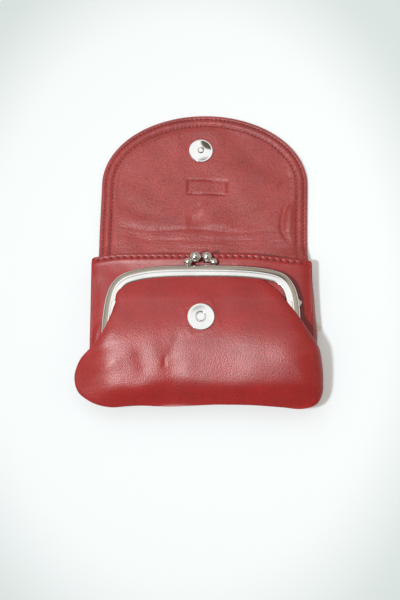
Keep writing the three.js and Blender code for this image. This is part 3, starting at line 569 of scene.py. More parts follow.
def weave_group():
    """Plain weave: two sets of crossed ribs, over and under, with uneven thread shades."""
    group, source, sink = new_group(
        "Plain weave",
        [("Vector", "NodeSocketVector", None), ("Threads", "NodeSocketFloat", 2600.0)],
        [("Height", "NodeSocketFloat"), ("Shade", "NodeSocketFloat")],
    )
    link = group.links.new
    ribs = []
    for direction in ("X", "Y"):
        wave = group.nodes.new("ShaderNodeTexWave")
        wave.bands_direction = direction
        wave.inputs["Distortion"].default_value = 0.4
        link(source.outputs["Vector"], wave.inputs["Vector"])
        link(source.outputs["Threads"], wave.inputs["Scale"])
        ribs.append(wave.outputs["Fac"])
    link(math_node(group, "MAXIMUM", *ribs), sink.inputs["Height"])
    uneven = noise(group, source.outputs["Vector"], 900.0, 2.0)
    link(uneven.outputs["Fac"], sink.inputs["Shade"])
    return group


def tarnish_group():
    """Plated metal: cloudy tarnish, fine scuffs and a slight orange peel."""
    group, source, sink = new_group(
        "Plate tarnish",
        [("Vector", "NodeSocketVector", None)],
        [("Cloud", "NodeSocketFloat"), ("Scuff", "NodeSocketFloat"), ("Height", "NodeSocketFloat")],
    )
    link = group.links.new
    for label, scale, detail in (("Cloud", 90.0, 5.0), ("Scuff", 1500.0, 4.0), ("Height", 700.0, 2.0)):
        link(noise(group, source.outputs["Vector"], scale, detail).outputs["Fac"], sink.inputs[label])
    return group


def shared_group(name):
    """The node group of that name, made once."""
    makers = {"Leather grain": grain_group, "Plain weave": weave_group, "Plate tarnish": tarnish_group}
    return bpy.data.node_groups.get(name) or makers[name]()


def start_material(name, group):
    """A material with its Principled shader and one shared group on Object coordinates."""
    made = bpy.data.materials.get(name)
    if made:
        return made, None, None, None
    made = bpy.data.materials.new(name)
    made.use_nodes = True
    tree = made.node_tree
    shader = tree.nodes["Principled BSDF"]
    place = tree.nodes.new("ShaderNodeTexCoord")
    effect = tree.nodes.new("ShaderNodeGroup")
    effect.node_tree = shared_group(group)
    tree.links.new(place.outputs["Object"], effect.inputs["Vector"])
    return made, tree, shader, effect


def bump(tree, shader, height, strength, distance):
    """Feeds a height into the shader's normal."""
    made = tree.nodes.new("ShaderNodeBump")
    made.inputs["Strength"].default_value = strength
    made.inputs["Distance"].default_value = distance
    tree.links.new(height, made.inputs["Height"])
    tree.links.new(made.outputs["Normal"], shader.inputs["Normal"])


def leather(name, base, rough, pebble, depth):
    """Red leather: mottled colour, darker furrows, gloss that varies with the grain, pebbled bump."""
    made, tree, shader, grain = start_material(name, "Leather grain")
    if tree is None:
        return made
    grain.inputs["Pebbles"].default_value = 1.0 / pebble
    deep = tuple(c * 0.72 for c in base)
    pale = tuple(min(1.0, c * 1.16 + 0.006) for c in base)
    mottled = mix_colour(tree, spread(tree, grain.outputs["Mottle"], -0.2, 1.2), deep, pale)
    furrow = spread(tree, grain.outputs["Height"], 0.6, 1.04)
    tone = mix_colour(tree, 1.0, mottled, furrow, "MULTIPLY")
    tree.links.new(tone, shader.inputs["Base Color"])
    gloss = spread(tree, grain.outputs["Mottle"], rough + 0.08, rough - 0.08)
    tree.links.new(gloss, shader.inputs["Roughness"])
    shader.inputs["IOR"].default_value = 1.5
    shader.inputs["Specular IOR Level"].default_value = 0.6
    bump(tree, shader, grain.outputs["Height"], strength=0.55, distance=depth)
    return made


def woven(name, base, threads):
    """Woven cloth or tape: crossed ribs with uneven thread shades."""
    made, tree, shader, weave = start_material(name, "Plain weave")
    if tree is None:
        return made
    weave.inputs["Threads"].default_value = threads
    dark = tuple(c * 0.6 for c in base)
    shade = mix_colour(tree, weave.outputs["Shade"], dark, tuple(min(1.0, c * 1.3) for c in base))
    tree.links.new(mix_colour(tree, weave.outputs["Height"], dark, shade), shader.inputs["Base Color"])
    shader.inputs["Roughness"].default_value = 0.85
    shader.inputs["Sheen Weight"].default_value = 0.2
    bump(tree, shader, weave.outputs["Height"], strength=0.6, distance=0.00012)
    return made


def plated(name, base, rough):
    """Plated metal: tarnish clouds in the colour, scuffs in the gloss, a slight orange peel."""
    made, tree, shader, plate = start_material(name, "Plate tarnish")
    if tree is None:
        return made
    dull = tuple(c * 0.8 for c in base)
    tarnish = spread(tree, plate.outputs["Cloud"], -0.3, 1.1)
    tree.links.new(mix_colour(tree, tarnish, dull, base), shader.inputs["Base Color"])
    gloss = spread(tree, plate.outputs["Scuff"], rough * 0.7, rough * 1.4)
    tree.links.new(gloss, shader.inputs["Roughness"])
    shader.inputs["Metallic"].default_value = 1.0
    bump(tree, shader, plate.outputs["Height"], strength=0.08, distance=0.00006)
    return made


def matt(name, base, rough):
    """Matt solid such as ferrite or paper: grain in colour and bump."""
    made, tree, shader, grain = start_material(name, "Leather grain")
    if tree is None:
        return made
    grain.inputs["Pebbles"].default_value = 3000.0
    pale = tuple(min(1.0, c * 1.3) for c in base)
    tree.links.new(mix_colour(tree, grain.outputs["Mottle"], base, pale), shader.inputs["Base Color"])
    shader.inputs["Roughness"].default_value = rough
    bump(tree, shader, grain.outputs["Height"], strength=0.3, distance=0.00008)
    return made


def hide_leather():
    """The red outer leather."""
    look = bpy.context.scene.purse_leather
    return leather("Red leather", tuple(look.hide), rough=0.39, pebble=look.grain, depth=0.00011)


def lining_leather():
    """The flap's lining leather, its colour partly its own and partly painted sheen."""
    look = bpy.context.scene.purse_leather
    base = tuple(look.lining)
    return leather("Flap lining leather", base, rough=0.44, pebble=look.lining_grain, depth=0.0003)


def pocket_cloth():
    """The pockets' cloth."""
    return woven("Pocket cloth", tuple(bpy.context.scene.purse_leather.cloth), threads=2600.0)


def zip_tape():
    """The zips' tape."""
    return woven("Zip tape", tuple(bpy.context.scene.purse_leather.tape), threads=3200.0)


def thread():
    """The sewing thread."""
    return woven("Sewing thread", tuple(bpy.context.scene.purse_leather.thread), threads=5200.0)


def nickel():
    """The frame's nickel plate."""
    return plated("Nickel plate", tuple(bpy.context.scene.purse_metal.nickel), rough=0.16)


def snap_plate():
    """The snaps' polished plate."""
    return plated("Polished snap", tuple(bpy.context.scene.purse_metal.snap), rough=0.07)


def zip_metal():
    """The zips' metal."""
    return plated("Zip metal", tuple(bpy.context.scene.purse_metal.pull), rough=0.26)


# Flap

# How much further to the right the flap's tip lies than its fold.
TIP_SKEW = 0.9

# The plain rectangle pressed into the lining: its middle, half sizes and turn.
PRESS_MIDDLE = (3.4, 102.3)
PRESS_HALF = (10.6, 3.9)
PRESS_TURN = math.radians(-2.0)

# Length and thread radius of the flap's stitches.
FLAP_STITCH, FLAP_THREAD = 1.6, 0.27

# Reach before and after its hinge given to bend for each of the flap's two pieces.
FOLD_BEND = (1.5, 6.0)
CLOSE_BEND = (6.0, 6.0)


def flap_size():
    """Half width, sideways skew and height of the round end, in millimetres."""
    size = bpy.context.scene.purse_flap
    return size.half_width / MM, size.skew / MM, size.round_height / MM


def flap_shift(y):
    """How far the flap lies to the right at a Y: its skew at the fold, a little more towards its tip."""
    return flap_size()[1] + TIP_SKEW * ease(y, FOLD[1] + 8, FLAP_HIGH[1] - 34)


def flap_edge(x, y):
    """Distance in from the flap's outline: from its straight sides, or to first order from its ellipse."""
    half, _, rise = flap_size()
    x = x - flap_shift(y)
    up = np.maximum(y - (FLAP_HIGH[1] - rise), 0)
    reach = np.sqrt((x / half) ** 2 + (up / rise) ** 2)
    slope = np.sqrt((x / half**2) ** 2 + (up / rise**2) ** 2) / np.maximum(reach, 1e-6)
    return np.clip((1 - reach) / np.maximum(slope, 1e-6), 0, half)


def flap_run(x, y):
    """Distance along the flap's edge from its fold, nearly: up its sides, then round its ellipse."""
    half, _, rise = flap_size()
    base = FLAP_HIGH[1] - rise
    up = np.maximum(y - base, 0)
    return np.minimum(y, base) + (half + rise) / 2 * np.arctan2(up / rise, np.abs(x - flap_shift(y)) / half)


# Folds of the flap's lining: depth (up is positive), width and the points of each line.
FLAP_FOLDS = (
    (-0.5, 1.3, ((-48.9, 80.1), (-39.5, 79.3), (-27.8, 77.4), (-16.9, 77.9), (-4.5, 78.7), (6.4, 77.7),
                 (18.9, 76.3), (29.7, 76.5), (39.9, 77.4))),
    (-0.22, 1.2, ((-47.2, 75.5), (-34.0, 73.2), (-18.4, 72.0), (4.9, 72.4), (20.4, 72.0), (35.9, 74.0))),
    (0.45, 3.2, ((-46.0, 84.5), (-28.0, 82.0), (-16.0, 82.5))),
    (0.5, 2.8, ((1.8, 81.7), (9.5, 80.9), (18.3, 81.7))),
    (0.4, 0.8, ((-1.2, 86.6), (-0.2, 89.5), (2.5, 92.4), (4.9, 94.4))),
    (-0.35, 1.6, ((-3.2, 86.6), (-2.4, 89.8), (0.4, 93.2))),
    (-0.9, 4.6, ((-8.6, 83.0), (2.8, 83.4))),
    (-0.5, 1.4, ((53.8, 110.9), (47.4, 107.6), (44.2, 104.3), (42.5, 99.3))),
    (-1.0, 1.5, ((52.3, 97.7), (46.7, 91.9), (44.3, 85.4), (43.8, 77.3), (46.8, 72.4), (50.6, 67.6))),
    (1.1, 3.0, ((50.7, 95.6), (48.6, 85.4), (49.2, 74.5))),
    (-0.3, 1.6, ((17.3, 83.8), (25.2, 88.3), (33.0, 92.4), (41.0, 97.7))),
    (-0.3, 1.6, ((19.8, 99.7), (26.9, 104.3), (34.0, 107.6))),
)


def flap_folds(x, y):
    """Soft relief of the lining: fine wrinkles along the fold, its fold lines and slow waves."""
    near_fold = 1 - ease(y, FOLD[1] + 14, FOLD[1] + 26)
    lines = np.abs(cloud(x + 0.5 * y, 9 * y, 11, 11)) + 0.6 * np.abs(cloud(x + 40, 13 * y, 7, 12))
    height = -0.2 * near_fold * (1 - np.clip(lines * 1.5, 0, 1))
    height = height + 0.7 * cloud(x, y, 26, 13) + 0.35 * cloud(x + 0.6 * y, y, 12, 14)
    height = height + fold_lines(x, y, FLAP_FOLDS)
    return height * ease(np.hypot(x - DISC_MIDDLE[0], y - DISC_MIDDLE[1]), 6.5, 14)


def rectangle_press(x, y):
    """A plain rectangle pressed into the lining: its floor sunk a little, its border line deeper."""
    u, v = turned(x, y, PRESS_MIDDLE, PRESS_TURN)
    away = np.maximum(np.abs(u) - PRESS_HALF[0], np.abs(v) - PRESS_HALF[1])
    return -0.2 * (1 - ease(away, -0.9, -0.2)) - 0.9 * bell(away, 0.0, 0.45)


def flap_top(x, y):
    """Level of the flap's lining: rounded at the edge, sewn in along two rows with a padded roll between."""
    size = bpy.context.scene.purse_flap
    thick = FLAP_HIGH[2]
    away = flap_edge(x, y)
    round_off = quarter_round(away, thick / 2)
    outer, inner = size.edge_row / MM, size.inner_row / MM
    roll = np.sin(np.pi * np.clip((away - outer) / (inner - outer), 0, 1)) ** 2 * size.roll / MM
    pucker = 0.12 * cloud(x, y, 2.3, 15) * bell(away, (outer + inner) / 2, 2.2)
    ticks = np.cos(np.pi * flap_run(x, y) / (size.pitch / MM)) ** 4
    pucker = pucker - 0.3 * ticks * (bell(away, outer, 1.2) + 0.6 * bell(away, inner, 1.0))
    sewn = 0.38 * bell(away, outer, 0.5) + 0.42 * bell(away, inner, 0.55)
    field = ease(away, inner, inner + 4)
    relief = flap_folds(x, y) + rectangle_press(x, y)
    return thick / 2 * (1 + round_off) + roll + pucker - sewn + field * relief


def flap_under(x, y):
    """Level of the flap's outer leather: flat on the table and rounded at the edge."""
    thick = FLAP_HIGH[2]
    return thick / 2 * (1 - quarter_round(flap_edge(x, y), thick / 2))


def flap_rise(x, y):
    """How far the fold's sides stand up where they run into the back panel."""
    side = 2.0 * ease(-x, 42, 52) + 4.0 * ease(x, 34, 54)
    return side * (1 - ease(y, FOLD[1] - 2, FOLD[1] + 8))


def flap_grid(levels):
    """Grid over the flap at the given Y levels: columns crowd towards both edges, rows follow the outline."""
    half, _, rise = flap_size()
    up = np.maximum(levels - (FLAP_HIGH[1] - rise), 0)
    width = half * np.sqrt(np.maximum(1 - (up / rise) ** 2, 0))
    u = np.linspace(-1, 1, 191)
    across = 0.5 * u + 0.5 * np.sin(np.pi / 2 * u)
    x = flap_shift(levels)[:, None] + width[:, None] * across[None, :]
    y = np.broadcast_to(levels[:, None], x.shape)
    lift = flap_rise(x, y)
    top = np.stack([x, y, flap_top(x, y) + lift], -1)
    bottom = np.stack([x, y, flap_under(x, y) + lift], -1)
    return closed_sheet(top, bottom)


def flap_row(inset):
    """A stitch row's path on the flap: its outline drawn inwards, from the left fold round to the right."""
    half, _, rise = flap_size()
    base = FLAP_HIGH[1] - rise
    t = np.linspace(np.pi, 0, 400)
    arc = np.stack([half * np.cos(t), base + rise * np.sin(t)], -1)
    inward = np.stack([-np.cos(t) / half, -np.sin(t) / rise], -1)
    arc = arc + inset * inward / np.linalg.norm(inward, axis=1, keepdims=True)
    side = half - inset
    straight = np.stack([np.full(40, side), np.linspace(FOLD[1] + 0.5, base, 40, endpoint=False)], -1)
    path = np.concatenate([straight * [-1, 1], arc, straight[::-1]])
    path[:, 0] += flap_shift(path[:, 1])
    return even(path, bpy.context.scene.purse_flap.pitch / MM)


def flap_stitches(path, low, high):
    """Stitches of one row whose middles lie between two Y levels."""
    middle = (path[1:] + path[:-1]) / 2
    along = np.diff(path, axis=0)
    along = along / np.linalg.norm(along, axis=1, keepdims=True)
    keep = (middle[:, 1] >= low) & (middle[:, 1] < high)
    middle, along = middle[keep], along[keep]
    z = flap_top(middle[:, 0], middle[:, 1]) + flap_rise(middle[:, 0], middle[:, 1]) + 0.1
    centres = np.concatenate([middle, z[:, None]], 1)
    along = np.concatenate([along, np.zeros((len(along), 1))], 1)
    return stitch_row(centres, along, np.broadcast_to(UP, along.shape), FLAP_STITCH, FLAP_THREAD)


class PURSE_OT_flap(bpy.types.Operator):
    """Flap: its leather in two pieces, the fold and the flap, with its padded edge and its two stitch rows"""

    bl_idname = "purse.flap"
    bl_label = "Flap"

    def execute(self, context):
        size = context.scene.purse_flap
        half, _, rise = flap_size()
        base = FLAP_HIGH[1] - rise
        fold_levels = np.linspace(BACK_HIGH[1] - 6.0, SPINE_MIDDLE, 40)
        straight = np.linspace(SPINE_MIDDLE, base, 58, endpoint=False)
        turn = np.linspace(0, np.pi / 2, 84)
        flap_levels = np.concatenate([straight, base + rise * np.sin(turn)])
        fold = add_piece("fold_leather", flap_grid(fold_levels), lining_leather())
        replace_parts(fold, "spine_outer", "spine_lining")
        bend(fold, "purse", "flap_spine", FOLD, *FOLD_BEND)
        flap = add_piece("flap_leather", flap_grid(flap_levels), lining_leather())
        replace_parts(flap, "flap_outer", "flap_lining")
        bend(flap, "flap_spine", "flap", CLOSE, *CLOSE_BEND)
        rows = [flap_row(inset / MM) for inset in (size.edge_row, size.inner_row)]
        low = joined(*(flap_stitches(row, FOLD[1], SPINE_MIDDLE) for row in rows))
        high = joined(*(flap_stitches(row, SPINE_MIDDLE, FLAP_HIGH[1]) for row in rows))
        fold_thread = add_piece("fold_stitches", low, thread())
        bend(fold_thread, "purse", "flap_spine", FOLD, *FOLD_BEND)
        flap_thread = add_piece("flap_stitches", high, thread())
        bend(flap_thread, "flap_spine", "flap", CLOSE, *CLOSE_BEND)
        return {"FINISHED"}


# Body

# Radii of the body's bottom and top corners, and how much fuller its right side is.
BOTTOM_CORNER, TOP_CORNER = 12.0, 1.6
RIGHT_FULL = 0.9

# Half the height of a zip's window, and how far the window reaches past the zip's tapes.
WINDOW_HALF, WINDOW_END = 4.5, 3.0

# The hem's top above the solid's, its drop at the left and the right end, and its stitch row from the top.
HEM_RISE, HEM_LEFT_DROP, HEM_RIGHT_DROP = 2.7, 1.7, 3.2
HEM_ROW = 1.9

# Length, thread radius and slant of the hem's stitches.
HEM_STITCH, HEM_THREAD = 2.7, 0.48
HEM_SLANT = math.radians(-28)

# Folds at the front panel's left side: depth (up is positive), width and the points of each line.
PANEL_FOLDS = (
    (-0.5, 3.0, ((-54.5, 52), (-55.5, 34), (-54.0, 18))),
    (0.5, 1.7, ((-51.5, 26), (-54.5, 17), (-55.5, 8))),
)


def body_outline(inset, mouth, spacing):
    """The body's outline drawn inwards: round bottom corners, near-square top ones, its top bowed or not."""
    w, bottom, top = PANEL_HIGH[0] - inset, PANEL_LOW[1] + inset, PANEL_HIGH[1] - inset
    r, small = BOTTOM_CORNER - inset, TOP_CORNER
    t = np.linspace(0, np.pi / 2, 24)
    right = np.array([w - r, bottom + r]) + r * np.stack([np.sin(t), -np.cos(t)], -1)
    left = np.array([-w + r, bottom + r]) + r * np.stack([-np.cos(t), -np.sin(t)], -1)
    top_right = np.array([w - small, top - small]) + small * np.stack([np.cos(t), np.sin(t)], -1)
    top_left = np.array([-w + small, top - small]) + small * np.stack([-np.sin(t), np.cos(t)], -1)
    across = np.stack([np.linspace(w - small, small - w, 60), np.full(60, top)], -1)[1:-1]
    loop = np.concatenate([left, right, top_right, across, top_left])
    loop[:, 0] += RIGHT_FULL * ease(loop[:, 0], 0, w)
    if mouth:
        loop[:, 1] += (hem_line(loop[:, 0], inset) - top) * ease(loop[:, 1], 20, top)
    return even(loop, spacing, closed=True)


def slot_loop(loop, left, right, y, half):
    """Where the ray from a round-ended slot's middle to each point of a loop crosses the slot's edge."""
    middle = np.array([(left + right) / 2, y])
    ray = loop[:, :2] - middle
    ray = ray / np.linalg.norm(ray, axis=1, keepdims=True)
    reach = (right - left) / 2 - half
    c, s = np.abs(ray[:, 0]), np.maximum(np.abs(ray[:, 1]), 1e-9)
    flat = half / s
    end = reach * c + np.sqrt(np.maximum(half**2 - (reach * s) ** 2, 0))
    return middle + ray * np.where(flat * c <= reach, flat, end)[:, None]


def panel_grid(outer, window, rings):
    """Rings from the outline in to the window, crowded towards both, and their distance from the outline."""
    v = np.linspace(0, 1, rings)
    v = 0.5 - 0.5 * np.cos(np.pi * v)
    xy = outer[None, :, :] * (1 - v[:, None, None]) + window[None, :, :] * v[:, None, None]
    to_edge = np.linalg.norm(xy - outer[None], axis=2)
    return xy, to_edge


def zip_slot(prefix):
    """Left end, right end and middle of a zip's window, from its tapes."""
    low, high = span(f"{prefix}_upper_tape")
    lower = span(f"{prefix}_lower_tape")
    y = (min(low[1], lower[0][1]) + max(high[1], lower[1][1])) / 2
    return low[0] - WINDOW_END, high[0] + WINDOW_END, y


def front_level(x, y):
    """Level of the front panel: slack, with folds, lower along its sides, gaping at the pocket's mouth."""
    side = ease(np.abs(x), PANEL_HIGH[0] - 7, PANEL_HIGH[0])
    gape = 1.7 * (1 - (x / PANEL_HIGH[0]) ** 2) * ease(y, 50, 60)
    slack = 0.14 * cloud(x, y, 15, 21) + 0.08 * cloud(x, y, 5, 22)
    slack = slack + fold_lines(x, y, PANEL_FOLDS)
    return PANEL_HIGH[2] + gape - 0.9 * side**2 + slack


def hem_start():
    """X of the hem's first stitch."""
    return PANEL_LOW[0] + 3.4


def hem_line(x, inset):
    """Y of a line a given way in from the front panel's top edge: lower at both ends, most at the right."""
    top = PANEL_HIGH[1] + HEM_RISE - inset
    return top - HEM_LEFT_DROP * ease(-x, 42, 60) - HEM_RIGHT_DROP * ease(x, 20, 60)


def back_level(x, y):
    """Level of the back: flat where it rests, up along its sides, its bottom and the rear zip."""
    zip_y = zip_slot("rear_zip")[2]
    side = ease(np.abs(x), 44, 52)
    low = ease(-y, 14, 18.5)
    from_zip = y - zip_y
    valley = np.where(from_zip > 0, 1 - ease(from_zip, 12, 18), 1 - ease(-from_zip, 16.8, 22.8))
    return (BACK_HIGH[2] - 1.0) * np.maximum(np.maximum(side, low), valley)


class PURSE_OT_body(bpy.types.Operator):
    """Body: front panel with its turned hem, back panel, gusset and pocket linings"""

    bl_idname = "purse.body"
    bl_label = "Body"

    def front_panel(self, thick):
        """The front panel: rings from its outline to its zip window, rounded at the outline."""
        outer = body_outline(0, True, 0.6)
        left, right, y = zip_slot("front_zip")
        xy, to_edge = panel_grid(outer, slot_loop(outer, left, right, y, WINDOW_HALF), 52)
        px, py = xy[..., 0], xy[..., 1]
        round_off = 0.9 * (1 - quarter_round(to_edge, 1.6))
        below_top = hem_line(px, 0) - py
        pitch = bpy.context.scene.purse_flap.hem_pitch / MM
        pits = np.cos(np.pi * (px - hem_start()) / pitch) ** 6
        sewn = (0.15 + 0.45 * pits) * bell(below_top, HEM_ROW, 0.9) - 0.2 * bell(below_top, 3.6, 1.0)
        top = np.dstack([xy, front_level(px, py) - round_off - sewn])
        bottom = np.dstack([xy, np.minimum(top[..., 2] - 0.25, front_level(px, py) - thick)])
        skin = closed_sheet(top, bottom, wrap=True)
        panel = add_piece("front_panel_leather", skin, hide_leather())
        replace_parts(panel, "front_panel")
        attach(panel, "purse")

    def hem(self):
        """The turned top edge: a strip under the panel's edge, two flat sides joined by a half round."""
        x = np.linspace(PANEL_LOW[0] + 1.4, PANEL_HIGH[0] - 0.8, 150)
        turn = np.linspace(-np.pi / 2, np.pi / 2, 9)
        half = 0.45
        profile = np.concatenate([
            np.stack([np.linspace(-6, 0, 8, endpoint=False), np.full(8, -half)], -1),
            half * np.stack([np.cos(turn), np.sin(turn)], -1),
            np.stack([np.linspace(-0.6, -6, 8), np.full(8, half)], -1),
        ])
        y = hem_line(x, 0.6)[:, None] + profile[None, :, 0]
        z = front_level(x, hem_line(x, 1.0))[:, None] - 1.6 + profile[None, :, 1]
        body = np.stack([np.broadcast_to(x[:, None], y.shape), y, z], -1)
        ends = [np.broadcast_to(body[k].mean(0), (1, *body.shape[1:])) for k in (0, -1)]
        skin = surface(np.concatenate([ends[0], body, ends[1]]), wrap=True)
        hem = add_piece("hem_leather", skin, hide_leather())
        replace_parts(hem, "front_panel_hem")
        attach(hem, "purse")

    def hem_stitches(self, pitch):
        """One row of stitches along the hem."""
        x = np.arange(hem_start(), PANEL_HIGH[0] - 2.4, pitch)
        y = hem_line(x, HEM_ROW)
        centres = np.stack([x, y, front_level(x, y) - 0.3], -1)
        along = np.broadcast_to([math.cos(HEM_SLANT), math.sin(HEM_SLANT), 0.0], centres.shape)
        skin = stitch_row(centres, along, np.broadcast_to(UP, centres.shape), HEM_STITCH, HEM_THREAD)
        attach(add_piece("hem_stitches", skin, thread()), "purse")

    def back_panel(self, thick):
        """The back panel: rings from its outline to the rear zip's window on the shaped back."""
        outer = body_outline(0, False, 1.0)
        left, right, y = zip_slot("rear_zip")
        xy, to_edge = panel_grid(outer, slot_loop(outer, left, right, y, WINDOW_HALF), 44)
        level = back_level(xy[..., 0], xy[..., 1])
        round_off = 0.45 * (1 - quarter_round(to_edge, 0.9))
        top = np.dstack([xy, level + thick - round_off])
        bottom = np.dstack([xy, level + round_off])
        skin = closed_sheet(top, bottom, wrap=True)
        panel = add_piece("back_panel_leather", skin, hide_leather())
        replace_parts(panel, "back_panel")
        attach(panel, "purse")

    def gusset(self, thick):
        """The gusset: a band down the left side, round the bottom and up the right, creased along it."""
        loop = body_outline(0.3, False, 0.9)
        start = int(np.argmin(np.hypot(loop[:, 0] + PANEL_HIGH[0], loop[:, 1] - PANEL_HIGH[1] + 2)))
        loop = np.roll(loop, -start, 0)
        stop = int(np.argmin(np.hypot(loop[:, 0] - PANEL_HIGH[0], loop[:, 1] - PANEL_HIGH[1] + 2)))
        path = loop[: stop + 1]
        outward = -left_normals(path)
        t = np.linspace(0, 1, 22)
        run = np.linspace(0, 1, len(path))[:, None]
        full = 0.7 + 2.4 * ease(path[:, 0], 40, 57) * bell(path[:, 1], 20, 20)
        swell = full[:, None] * np.sin(np.pi * t)[None, :] - 0.6 * bell(t, 0.45, 0.12)[None, :]
        slack = 0.35 * cloud(run * 300, 12 * t[None, :], 14, 24)
        push = swell + slack * np.sin(np.pi * t)[None, :] - 0.3
        z = np.broadcast_to(BACK_HIGH[2] - 0.6 + t * (PANEL_LOW[2] - BACK_HIGH[2] + 0.75), push.shape)
        xy = path[:, None, :] + outward[:, None, :] * push[..., None]
        inner = path[:, None, :] + outward[:, None, :] * (push - thick)[..., None]
        skin = closed_sheet(np.dstack([xy, z]), np.dstack([inner, z]))
        gusset = add_piece("gusset_leather", skin, hide_leather())
        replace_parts(gusset, "body_gusset")
        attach(gusset, "purse")

    def pocket(self, name, replaced, level):
        """A pocket lining: a slack cloth sheet across the body at the given level."""
        low, high = span(replaced)
        x, y = np.meshgrid(np.linspace(low[0], high[0], 70), np.linspace(low[1], high[1], 50))
        edge = np.minimum(x - low[0], high[0] - x)
        z = level(x, y) + 0.12 * cloud(x, y, 9, 25) * ease(edge, 0, 6)
        skin = closed_sheet(np.dstack([x, y, z + 0.3]), np.dstack([x, y, z]))
        cloth = add_piece(name, skin, pocket_cloth())
        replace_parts(cloth, replaced)
        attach(cloth, "purse")

    def rear_pocket_level(self, x, y):
        """Level of the rear pocket's cloth: flat over its zip, then over the back up to its mouth."""
        bag_top = span("rear_zip_bag")[1][2]
        dip_from = zip_slot("rear_zip")[2] + 12
        over = np.maximum(back_level(x, y), flap_rise(x, y)) + 2.0
        return bag_top - 0.4 + (over - bag_top + 0.4) * ease(y, dip_from, PANEL_HIGH[1])

    def execute(self, context):
        thick = context.scene.purse_leather.thickness / MM
        self.gusset(thick)
        self.back_panel(thick)
        self.front_panel(thick)
        self.hem()
        self.hem_stitches(context.scene.purse_flap.hem_pitch / MM)
        front_low = span("front_zip_bag")[0][2]
        self.pocket("rear_pocket_cloth", "rear_zip_bag", self.rear_pocket_level)
        self.pocket("front_pocket_cloth", "front_zip_bag", lambda x, y: front_low + 0 * x)
        return {"FINISHED"}


# Coin pouch

# Edge of the pouch's front leather: X, Y, Z of the edge, and the width of its rounding as a share of
# the lobe radius. It runs from the middle of the top to the left, round the lobes and back. Along the
# top it is tucked into the frame's channel, and low down it lies over the frame's legs.
POUCH_EDGE = (
    (0.0, 48.6, 21.9, 0.26), (-20.0, 48.1, 21.9, 0.26), (-34.0, 46.6, 21.9, 0.26),
    (-41.2, 44.0, 21.9, 0.24), (-44.9, 39.0, 21.9, 0.26), (-45.3, 34.0, 22.4, 0.28),
    (-45.4, 28.6, 24.3, 0.3), (-50.3, 17.4, 24.3, 0.36), (-56.6, 9.6, 21.4, 0.48),
    (-61.8, 4.4, 18.2, 0.62), (-64.6, -1.6, 16.0, 0.75), (-65.1, -6.5, 15.0, 0.8),
    (-63.7, -11.6, 14.5, 0.65), (-60.4, -15.2, 14.3, 0.6), (-54.0, -18.8, 14.3, 0.5),
    (-46.1, -20.4, 14.3, 0.42), (-37.8, -19.8, 14.3, 0.4), (-30.5, -19.5, 14.2, 0.4),
    (-22.6, -19.8, 14.0, 0.4), (-14.8, -19.9, 13.9, 0.4), (-5.6, -19.5, 13.9, 0.4),
    (3.5, -19.1, 14.0, 0.4), (10.1, -19.0, 14.2, 0.4), (25.7, -19.3, 14.4, 0.4),
    (41.4, -20.4, 14.4, 0.42), (51.7, -21.3, 14.6, 0.45), (59.3, -18.9, 14.8, 0.5),
    (62.5, -13.4, 15.2, 0.6), (63.0, -6.2, 16.0, 0.8), (62.6, 1.2, 17.0, 0.75), (61.2, 8.6, 18.8, 0.62),
    (57.8, 14.0, 21.8, 0.48), (50.6, 24.8, 24.3, 0.36), (44.8, 32.4, 24.3, 0.3),
    (39.8, 38.7, 23.7, 0.26), (34.4, 43.4, 22.9, 0.24), (29.0, 46.8, 21.9, 0.26),
    (16.0, 48.1, 21.9, 0.28),
)


def inward_edge(inset):
    """The pouch's edge loop drawn inwards."""
    loop = smooth_loop(POUCH_EDGE, bpy.context.scene.purse_pouch.around)
    normals = left_normals(loop, closed=True)
    loop[:, :2] += inset * normals
    return loop


def from_loop(x, y, loop):
    """Distance of each point of a row from the nearest point of a loop."""
    return np.hypot(x[:, None] - loop[None, :, 0], y[:, None] - loop[None, :, 1]).min(1)


def soft_ramp(value, width):
    """Zero below 0 and the value itself above, with a soft bend of the given width."""
    return width * np.logaddexp(0, value / width)


# Folds of the pouch's front: depth (up is positive), width and the points of each line.
POUCH_FOLDS = (
    (0.35, 3.0, ((-43.0, 21.5), (-48.5, 14.5), (-55.0, 6.5))),
    (0.25, 4.2, ((-37.0, 12.0), (-36.0, 2.0), (-33.0, -9.0))),
    (-0.25, 3.6, ((-32.5, 11.0), (-30.0, 1.0), (-27.5, -7.0))),
    (0.25, 4.2, ((-25.0, 14.0), (-22.5, 2.0), (-20.5, -7.0))),
    (-0.3, 1.0, ((-18.9, 6.0), (-18.3, 1.5), (-18.7, -2.0))),
    (-0.3, 5.2, ((-16.0, 5.0), (-13.0, -4.0), (-11.5, -12.0))),
    (-0.25, 2.8, ((-9.0, 21.0), (-13.0, 11.0), (-18.0, 0.0))),
)

# Where the pouch's front turns under towards its bottom: X and Y of the line.
POUCH_TURN = rounded((
    (-66.0, -11.5), (-47.0, -12.0), (-39.0, -10.8), (-31.5, -11.0), (-24.0, -8.8), (-16.0, -6.8),
    (-8.0, -7.2), (0.0, -8.4), (7.0, -9.3), (15.0, -9.7), (45.0, -10.2), (66.0, -10.4),
), 3)

# Swellings of the pouch's front: height, then middle and spread along X and along Y.
RIGHT_LOBE = (3.8, 50, 32, 3, 19)
LEFT_LOBE = (1.0, -45, 24, 2, 18)
LEFT_HINGE = (0.55, -48, 9, 1.5, 9)

# Drop per millimetre of the pouch's front: below the snap, past its turn and out past the left lobe.
SNAP_FALL, TURN_FALL, LEFT_FALL = 0.155, 0.43, 0.27

# The backing plate's print: half its side, its turn and the rim's height.
PRINT_HALF, PRINT_TURN, PRINT_RIM = 7.4, math.radians(17), 0.13

# The leather's return in the frame's right corner: radius, distance in from the frame's side, Y and level.
CORNER_RADIUS, CORNER_INSET, CORNER_Y, CORNER_LEVEL = 11.6, 18.0, 33.6, 22.3

# How far behind the leather the two faces of the lining lie, and how far in from the pouch's edge the
# rear lining ends.
LINING_NEAR, LINING_FAR = 0.3, 0.6
REAR_LINING_INSET = 4.5
